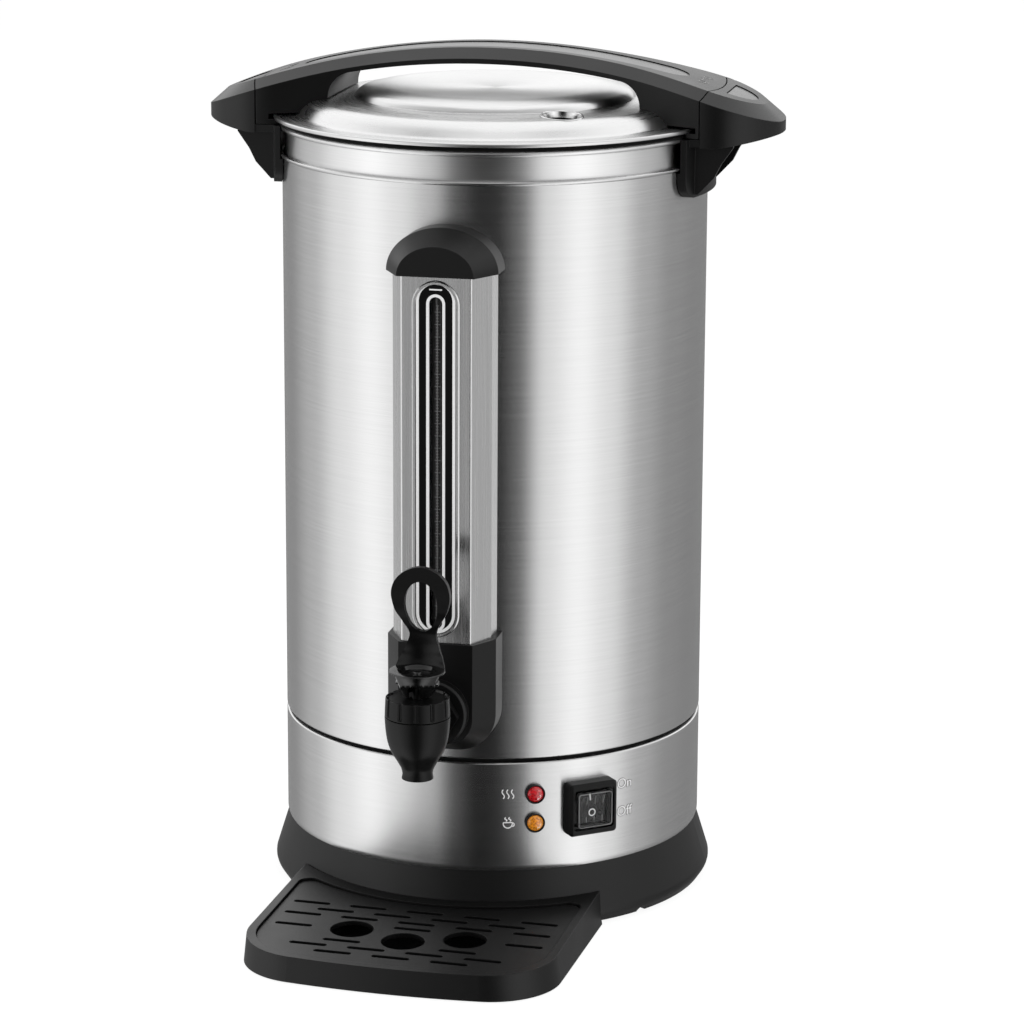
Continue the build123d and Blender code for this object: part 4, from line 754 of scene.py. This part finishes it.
def smooth_row(rows, height):
    """A value read from a list of (height, value) rows along a curve through them."""
    last = len(rows) - 1
    index = next((k for k in range(last) if height <= rows[k + 1][0]), last - 1)
    (h0, v0), (h1, v1), (h2, v2), (h3, v3) = (rows[min(max(index + k, 0), last)] for k in (-1, 0, 1, 2))
    if index == last - 1:
        # the outline closes at its top like a circle
        share = min(max((height - h1) / (h2 - h1), 0), 1)
        return v1 * sqrt(1 - share)
    share = (height - h1) / (h2 - h1)
    start = (v2 - v0) / (h2 - h0) * (h2 - h1)
    end = (v3 - v1) / (h3 - h1) * (h2 - h1)
    return (
        v1 * (2 * share ** 3 - 3 * share ** 2 + 1) + start * (share ** 3 - 2 * share ** 2 + share)
        + v2 * (3 * share ** 2 - 2 * share ** 3) + end * (share ** 3 - share ** 2)
    )


# The lever's blade in millimetres by height: half width, depth behind the tap's axis at the middle and
# at the edge, and thickness. Then the finger hole's foot, top and widest height, and its half width.
BLADE_FOOT, BLADE_TOP = 155.4, 206.5
BLADE_HALF = (
    (155.4, 12.4), (157.0, 12.0), (160, 10.9), (165, 8.5), (170.5, 6.6), (174, 7.3), (178, 9.6), (183, 12.6),
    (188, 14.2), (192.5, 14.75), (197, 13.9), (200.5, 12.0), (203.5, 8.9), (205.5, 5.2), (206.2, 2.8),
    (206.5, 0.0),
)
BLADE_MIDDLE = (
    (155.4, 11.0), (160, 12.4), (166, 13.2), (171, 12.8), (178, 10.6), (186, 8.4), (196, 7.2), (206.5, 6.8),
)
BLADE_RIM = (
    (155.4, 5.4), (158, 6.9), (162, 9.2), (167, 11.8), (171, 12.4), (178, 10.6), (186, 8.4), (196, 7.2),
    (206.5, 6.8),
)
BLADE_THICK = ((155.4, 1.8), (160, 2.0), (168, 3.0), (176, 3.6), (198, 3.6), (206.5, 3.4))
HOLE_LOW, HOLE_HIGH, HOLE_WIDEST, HOLE_HALF = 172.8, 199.2, 187.0, 8.3
BLADE_COLUMNS = 6


def hole_half(height):
    """Half width of the finger hole at a height, 0 outside it."""
    if not HOLE_LOW < height < HOLE_HIGH:
        return 0.0
    reach = HOLE_HIGH - HOLE_WIDEST if height > HOLE_WIDEST else HOLE_WIDEST - HOLE_LOW
    return HOLE_HALF * sqrt(max(1 - ((height - HOLE_WIDEST) / reach) ** 2, 0.0))


def bunched(low, high, count):
    """Heights from low up to just below high, closer together near both."""
    return [low + (high - low) * (1 - cos(pi * k / count)) / 2 for k in range(count)]


def blade_row(mesh, side, face, height):
    """Points across half of the blade at a height, on its front (face -1) or its back (face 1)."""
    edge, inner = smooth_row(BLADE_HALF, height), hole_half(height)
    middle, rim = table(BLADE_MIDDLE, height), table(BLADE_RIM, height)
    row = []
    for column in range(BLADE_COLUMNS + 1):
        x = inner + (edge - inner) * column / BLADE_COLUMNS
        bend = (x / edge) ** 2 if edge > 0.01 else 0.0
        depth = middle + (rim - middle) * bend + face * table(BLADE_THICK, height) / 2
        row.append(mesh.verts.new(Vector((side * x * MM, depth * MM - TAP_Y, height * MM))))
    return row


def lever_blade():
    """The lever's blade: a scoop that narrows to a neck, then a finger loop, as two halves that meet."""
    heights = bunched(BLADE_FOOT, HOLE_LOW, 20) + bunched(HOLE_LOW, HOLE_HIGH, 30)
    heights += bunched(HOLE_HIGH, BLADE_TOP, 14) + [BLADE_TOP]
    mesh = bmesh.new()
    for side in (-1, 1):
        front, back = ([blade_row(mesh, side, face, height) for height in heights] for face in (-1, 1))
        for low in range(len(heights) - 1):
            for grid in (front, back):
                for column in range(BLADE_COLUMNS):
                    mesh.faces.new((grid[low][column], grid[low][column + 1],
                                    grid[low + 1][column + 1], grid[low + 1][column]))
            ends = [BLADE_COLUMNS]
            if hole_half((heights[low] + heights[low + 1]) / 2) > 0:
                ends.append(0)
            for end in ends:
                mesh.faces.new((front[low][end], back[low][end], back[low + 1][end], front[low + 1][end]))
        for column in range(BLADE_COLUMNS):
            mesh.faces.new((front[0][column], front[0][column + 1], back[0][column + 1], back[0][column]))
    bmesh.ops.remove_doubles(mesh, verts=mesh.verts, dist=0.02 * MM)
    bmesh.ops.dissolve_degenerate(mesh, edges=mesh.edges, dist=0.01 * MM)
    piece = finish_piece("lever_blade", mesh, TAP_BLACK, "tap_lever", "black_gloss_plastic", True)
    soften = piece.modifiers.new("rounding", "BEVEL")
    soften.width, soften.segments, soften.limit_method = 0.75 * MM, 3, "ANGLE"
    soften.angle_limit = radians(50)
    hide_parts("tap_lever")


def slot_line(wide, tall, middle, inset, line):
    """The outer and inner outlines of an even line inside a slot shape, inset from its edge."""
    wide, tall = wide - inset, tall - inset
    return stadium(wide, tall, middle), stadium(wide - 2 * line, tall - 2 * line, middle)


def gauge_marks():
    """White outlines round the window and the slot, the dark field between, and the tube's scale."""
    face = flat_place(wall_frame(0, WINDOW_FACE, 0))
    white = print_ink("gauge_white", grey(0.8), 0.4)
    window, slot = (WINDOW_WIDE, WINDOW_LONG, WINDOW_MID), (SLOT_WIDE, SLOT_LONG, SLOT_MID)
    window_field = stadium(*window), stadium(*slot)
    window_line, slot_rim = slot_line(*window, 0.7 * MM, 1.5 * MM), slot_line(*slot, 0.1 * MM, 1.4 * MM)
    for name, (outer, inner), material, finish_slot, low, high in (
        ("window_outline", window_line, white, "grey_inlay", -0.8 * MM, 0.14 * MM),
        ("window_field", window_field, SEAM_BLACK, "black_plastic", -0.95 * MM, 0.05 * MM),
        ("slot_rim", slot_rim, white, "grey_inlay", -0.9 * MM, 0.1 * MM),
    ):
        mesh = bmesh.new()
        add_band(mesh, outer, inner, face, low, high)
        finish_piece(name, mesh, material, "urn_body", finish_slot)

    scale = bmesh.new()
    tube = wrapped_place(TUBE_R, 0, 0, axis=(0, -TUBE_Y))
    low, high = SLOT_MID - SLOT_LONG / 2 + 6 * MM, SLOT_MID + SLOT_LONG / 2 - 6 * MM
    add_line(scale, (0, low), (0, high), 0.35 * MM, tube, -0.02 * MM, 0.06 * MM)
    tick_gap, level, number = 1.55 * MM, low, 0
    while level < high:
        half = (1.5 if number % 4 == 0 else 0.7) * MM
        for side in (-1, 1):
            ends = ((side * 0.2 * MM, level), (side * half, level))
            add_line(scale, *ends, 0.25 * MM, tube, -0.02 * MM, 0.06 * MM)
        level += tick_gap
        number += 1
    finish_piece("tube_scale", scale, print_ink("scale_grey", grey(0.2), 0.4), "urn_body", "grey_inlay")
    mark = bmesh.new()
    level = SLOT_MID + SLOT_LONG / 2 + 2.2 * MM
    add_line(mark, (-3.2 * MM, level), (3.2 * MM, level), 0.7 * MM, face, -0.02 * MM, 0.08 * MM)
    finish_piece("full_mark", mark, white, "urn_body", "grey_inlay")


def switch_marks():
    """The rocker's on and off marks, its grip ridges, and a painted highlight round the clear cover's edge,
    as a thin pale band.
    """
    pivot = wall_frame(SWITCH_AZIMUTH, ROCKER_PIVOT_R, SWITCH_Z)
    tilt = Matrix.Rotation(radians(ROCKER_TILT), 4, "X")
    waist, rise, half = 1.9 * MM, 1.1 * MM, 8.3 * MM

    def face(x, y, level):
        return pivot @ tilt @ Vector((x, y, waist + rise * abs(y) / half + level))

    sunk, ink_high, ridge_high = -0.05 * MM, 0.1 * MM, 0.35 * MM
    white = print_ink("switch_white", grey(0.85), 0.4)
    marks = bmesh.new()
    add_line(marks, (-0.6 * MM, 4.2 * MM), (-1.4 * MM, 7.7 * MM), 0.6 * MM, face, sunk, ink_high)
    centre = (1.0 * MM, -2.9 * MM)
    add_band(marks, circle_points(centre, 2.0 * MM), circle_points(centre, 1.45 * MM), face, sunk, ink_high)
    finish_piece("rocker_marks", marks, white, "switch_rocker", "grey_inlay")
    ridges = bmesh.new()
    for x in (-2.4 * MM, 2.2 * MM, 6.8 * MM):
        for low, high in ((2.0 * MM, 6.2 * MM), (-8.1 * MM, -5.2 * MM)):
            add_line(ridges, (x, low), (x, high), 0.55 * MM, face, sunk, ridge_high)
    ridge_grey = moulded("ridge_grey", grey(0.16), 0.35)
    finish_piece("rocker_ridges", ridges, ridge_grey, "switch_rocker", "black_plastic")
    # painted highlight: a thin pale band round the clear cover's face stands in for the glints on its edges
    bead = bmesh.new()
    cover = flat_place(wall_frame(SWITCH_AZIMUTH, COVER_FACE_R, SWITCH_Z))
    outer, inner = box_outline(9.5 * MM, 8.9 * MM, 1.6 * MM), box_outline(9.3 * MM, 8.7 * MM, 1.4 * MM)
    add_band(bead, outer, inner, cover, -0.25 * MM, 0.1 * MM)
    finish_piece("cover_edge_highlight", bead, print_ink("painted_highlight_pale", grey(0.3), 0.2), "urn_body", "clear_plastic")


# radius of the facets' ball, height of its cut, share of its depth that is kept, and how far it is sunk
LENS_BALL, LENS_CUT, LENS_FLAT, LENS_SUNK = 3.3 * MM, 0.9 * MM, 0.4, 0.15 * MM


def lamp_facets():
    """Cut facets on the face of each lamp's lens: the cap of a coarse ball, flattened and sunk a little."""
    for colour, height in LAMP_HEIGHTS.items():
        place = wall_frame(LAMP_AZIMUTH, LAMP_FACE_R, height)
        mesh = bmesh.new()
        bmesh.ops.create_icosphere(mesh, subdivisions=2, radius=LENS_BALL)
        bmesh.ops.bisect_plane(
            mesh, geom=mesh.verts[:] + mesh.edges[:] + mesh.faces[:], plane_co=(0, 0, LENS_CUT),
            plane_no=(0, 0, 1), clear_inner=True,
        )
        bmesh.ops.holes_fill(mesh, edges=[edge for edge in mesh.edges if edge.is_boundary])
        for vertex in mesh.verts:
            vertex.co.z = (vertex.co.z - LENS_CUT) * LENS_FLAT - LENS_SUNK
            vertex.co = place @ vertex.co
        slot = f"lamp_{colour}_lens"
        finish_piece(f"lamp_{colour}_facets", mesh, SLOT_FINISHES[slot], "urn_body", slot)


LOCK_MARK_X = 109.0 * MM    # from the urn's axis to the middle of each end's marks


def handle_marks():
    """Lock marks sunk in the top of the bar at each end: a padlock and an arrow each way."""
    ink = print_ink("mark_black", grey(0.004), 0.25)

    def crown(x, y, level):
        return Vector((x, y, HANDLE_TOP - HANDLE_ARC_R + sqrt(HANDLE_ARC_R ** 2 - x * x) + level))

    marks = bmesh.new()
    for side in (-1, 1):
        def place(u, v, level, side=side):
            return crown(side * (LOCK_MARK_X + u), side * v, level)

        low, high, pen = -0.03 * MM, 0.07 * MM, 0.5 * MM
        for v, shut in ((-7.5 * MM, True), (7.5 * MM, False)):
            near, far = v - 2.2 * MM, v + 2.2 * MM
            body = [(-1.6 * MM, near), (1.4 * MM, near), (1.4 * MM, far), (-1.6 * MM, far)]
            add_stroke(marks, body + body[:1], pen, place, low, high)
            swing = 0 if shut else 2.0 * MM
            shackle = arc_points((1.6 * MM, v + swing), 1.5 * MM, -pi / 2, pi / 2, 10)
            add_stroke(marks, shackle, pen, place, low, high)
        shaft = [(-1.0 * MM, -3.6 * MM), (-1.0 * MM, 3.6 * MM)]
        add_stroke(marks, shaft, pen, place, low, high)
        for tip in (-1, 1):
            head = [(-2.2 * MM, tip * 2.3 * MM), (-1.0 * MM, tip * 3.8 * MM), (0.2 * MM, tip * 2.3 * MM)]
            add_stroke(marks, head, pen, place, low, high)
    finish_piece("lock_marks", marks, ink, "lid", "black_gloss_plastic")


WORD_AZIMUTH, WORD_SIZE = 47.8, 7.4 * MM
WORD_HEIGHTS = {"On": 71.6 * MM, "Off": 56.6 * MM}


def shell_word(text):
    """A generic word, pale with a dark outline, on the lower shell."""
    name = text.lower() + "_word"
    for layer, (grow, level, thick, material) in enumerate((
        (0.24 * MM, 0.05 * MM, 0.03 * MM, print_ink(name + "_edge", grey(0.09))),
        (0.0, 0.08 * MM, 0.04 * MM, print_ink(name + "_fill", grey(0.86))),
    )):
        curve = bpy.data.curves.new(name, "FONT")
        curve.body, curve.size, curve.offset = text, WORD_SIZE, grow
        curve.align_x, curve.align_y = "LEFT", "CENTER"
        holder = bpy.data.objects.new(name, curve)
        bpy.context.scene.collection.objects.link(holder)
        bpy.context.view_layer.update()
        flat = bpy.data.meshes.new_from_object(holder)
        bpy.data.objects.remove(holder)
        mesh = bmesh.new()
        mesh.from_mesh(flat)
        bmesh.ops.remove_doubles(mesh, verts=mesh.verts, dist=1e-6)
        place = wrapped_place(BODY_R, WORD_AZIMUTH, WORD_HEIGHTS[text])
        solid = bmesh.ops.extrude_face_region(mesh, geom=mesh.faces[:])
        raised = {item for item in solid["geom"] if isinstance(item, bmesh.types.BMVert)}
        for vertex in mesh.verts:
            vertex.co = place(vertex.co.x, vertex.co.y, level + (thick if vertex in raised else 0))
        finish_piece(f"{name}_{layer}", mesh, material, "urn_body", "grey_inlay")


def lamp_pictograms():
    """Plain signs beside the lamps: rising heat, and a warm cup."""
    white = print_ink("sign_white", grey(0.85))
    pen, low, high = 0.55 * MM, 0.05 * MM, 0.09 * MM
    azimuth = LAMP_AZIMUTH - 7.2
    signs = bmesh.new()

    def wave(place, x, base, tall):
        steps = 12
        points = [
            (x + 0.6 * MM * sin(2 * pi * k / steps), base + tall * k / steps) for k in range(steps + 1)
        ]
        add_stroke(signs, points, pen, place, low, high)

    heat = wrapped_place(BODY_R, azimuth, LAMP_HEIGHTS["red"])
    for x in (-2.4 * MM, 0, 2.4 * MM):
        wave(heat, x, -2.4 * MM, 4.8 * MM)
    cup = wrapped_place(BODY_R, azimuth, LAMP_HEIGHTS["amber"])
    bowl = arc_points((0, -0.4 * MM), 2.3 * MM, pi, 2 * pi, 14)
    left, right = (-2.3 * MM, 0.2 * MM), (2.3 * MM, 0.2 * MM)
    add_stroke(signs, [left] + bowl + [right, left], pen, cup, low, high)
    handle = arc_points((2.3 * MM, -0.9 * MM), 1.0 * MM, -pi / 2, pi / 2, 8)
    add_stroke(signs, handle, pen, cup, low, high)
    for x in (-1.0 * MM, 1.0 * MM):
        wave(cup, x, 0.9 * MM, 2.0 * MM)
    finish_piece("lamp_signs", signs, white, "urn_body", "grey_inlay")


# -------------------- studio
# Brightness of the studio round the object, by azimuth, as polished and brushed metal show it
STUDIO_STRENGTH = 1.5
STUDIO_FRONT = (
    (-80, 0.76), (-58, 0.97), (-42, 0.78), (-22, 0.48), (-9, 0.08), (3, 0.01), (14, 0.012),
    (26, 0.11), (40, 0.72), (60, 0.98), (78, 0.76),
)
STUDIO_ROUND = (
    (-180, 0.17), (-135, 0.21), (-105, 0.42), *STUDIO_FRONT,
    (100, 0.38), (124, 0.23), (150, 0.19), (180, 0.17),
)
STUDIO_ABOVE = ((-180, 0.9), (-135, 1.0), (-105, 0.75), *STUDIO_FRONT, (105, 0.6), (140, 1.0), (180, 0.9))
STUDIO_HIGH = ((-180, 0.95), (-110, 0.9), (-75, 0.45), (0, 0.38), (75, 0.45), (110, 0.9), (180, 0.95))
STUDIO_TOP = 0.98
# rise of a ray (its z from 0 to 1) over which each wall gives way to the next one up
ABOVE_RISE, HIGH_RISE, TOP_RISE = (-0.02, 0.16), (0.3, 0.55), (0.93, 0.99)
OPEN_LIGHT = 0.62                 # what matt surfaces get from all sides
FLOOR_GLOW, FLOOR_SHARE = 1.12, 0.8    # the floor's own light, and its share of what the camera sees
# name, azimuth, elevation, size and power of the soft lamps
SOFT_LAMPS = (
    ("left_lamp", -55, 35, 1.2, 9),
    ("right_lamp", 60, 35, 1.2, 9),
    ("top_lamp", 150, 75, 1.4, 8),
)
LAMP_DISTANCE, LAMP_AIM = 1.6, Vector((0, 0, 0.22))


def seen_directly(nodes, path):
    """1 for rays from the camera, straight or through glass."""
    return nodes.math("MAXIMUM", path["Is Camera Ray"], path["Is Transmission Ray"])


def build_world():
    """A white surround to the camera, and a studio of soft bright and dark walls to glossy surfaces."""
    world = bpy.data.worlds.new("studio")
    world.use_nodes = True
    world.cycles.sampling_method = "NONE"    # so that each surface sees the walls by its own rays
    bpy.context.scene.world = world
    tree = world.node_tree
    tree.nodes.clear()
    nodes = Nodes(tree)
    split = nodes.add("SeparateXYZ", {0: nodes.add("TexCoord").outputs["Generated"]}).outputs
    outward = nodes.math("MULTIPLY", split["Y"], -1.0)
    turn = nodes.math("ARCTAN2", split["X"], outward)
    share = nodes.math("ADD", nodes.math("DIVIDE", turn, 2 * pi), 0.5)
    around, above, high = (
        nodes.ramp(share, [((azimuth + 180) / 360, level) for azimuth, level in walls])
        for walls in (STUDIO_ROUND, STUDIO_ABOVE, STUDIO_HIGH)
    )
    pattern = nodes.mix(nodes.spread(split["Z"], *ABOVE_RISE), around, above)
    pattern = nodes.mix(nodes.spread(split["Z"], *HIGH_RISE), pattern, high)
    pattern = nodes.mix(nodes.spread(split["Z"], *TOP_RISE), pattern, (*grey(STUDIO_TOP), 1))
    glossy = nodes.add("Background", {"Color": pattern, "Strength": STUDIO_STRENGTH}).outputs[0]
    open_light = nodes.add("Background", {"Color": (1, 1, 1, 1), "Strength": OPEN_LIGHT}).outputs[0]
    white = nodes.add("Background", {"Color": (1, 1, 1, 1), "Strength": 1.0}).outputs[0]
    path = nodes.add("LightPath").outputs
    seen = seen_directly(nodes, path)
    mixed = nodes.add("MixShader", {0: path["Is Glossy Ray"], 1: open_light, 2: glossy}).outputs[0]
    final = nodes.add("MixShader", {0: seen, 1: mixed, 2: white}).outputs[0]
    nodes.add("OutputWorld", {"Surface": final})


def build_floor():
    """A pale floor that looks white and keeps a soft shadow."""
    mesh = bmesh.new()
    bmesh.ops.create_grid(mesh, x_segments=1, y_segments=1, size=20)
    data = bpy.data.meshes.new("floor")
    mesh.to_mesh(data)
    mesh.free()
    floor = bpy.data.objects.new("floor", data)
    floor.location.z = -0.0002
    bpy.context.scene.collection.objects.link(floor)
    floor.visible_glossy = False
    material = bpy.data.materials.new("floor")
    material.use_nodes = True
    nodes = Nodes(material.node_tree)
    material.node_tree.nodes.clear()
    path = nodes.add("LightPath").outputs
    seen = seen_directly(nodes, path)
    glow = nodes.add("Emission", {"Color": (1, 1, 1, 1), "Strength": FLOOR_GLOW}).outputs[0]
    matt = nodes.add("BsdfDiffuse", {"Color": (0.86, 0.86, 0.86, 1)}).outputs[0]
    share = nodes.math("MULTIPLY", seen, FLOOR_SHARE)
    lit = nodes.add("MixShader", {0: share, 1: matt, 2: glow}).outputs[0]
    nodes.add("OutputMaterial", {"Surface": lit})
    data.materials.append(material)


def area_light(name, azimuth, elevation, size, power):
    """A soft lamp that lights matt surfaces; metal shows the studio's walls instead."""
    turn, rise = radians(azimuth), radians(elevation)
    way = Vector((sin(turn) * cos(rise), -cos(turn) * cos(rise), sin(rise)))
    data = bpy.data.lights.new(name, "AREA")
    data.shape, data.size, data.energy = "SQUARE", size, power
    lamp = bpy.data.objects.new(name, data)
    lamp.location = LAMP_AIM + way * LAMP_DISTANCE
    lamp.rotation_euler = way.to_track_quat("Z", "Y").to_euler()
    lamp.visible_glossy = False
    bpy.context.scene.collection.objects.link(lamp)


# -------------------- build
bpy.context.scene.view_settings.view_transform = "Standard"
add_camera()
dress_frame()
lid_pressing()
vent_pieces()
smooth_rings()
brushed_skins()
tap_shell()
tap_ring()
lever_foot()
lever_blade()
gauge_marks()
switch_marks()
lamp_facets()
handle_marks()
shell_word("On")
shell_word("Off")
lamp_pictograms()
build_world()
build_floor()
for lamp in SOFT_LAMPS:
    area_light(*lamp)
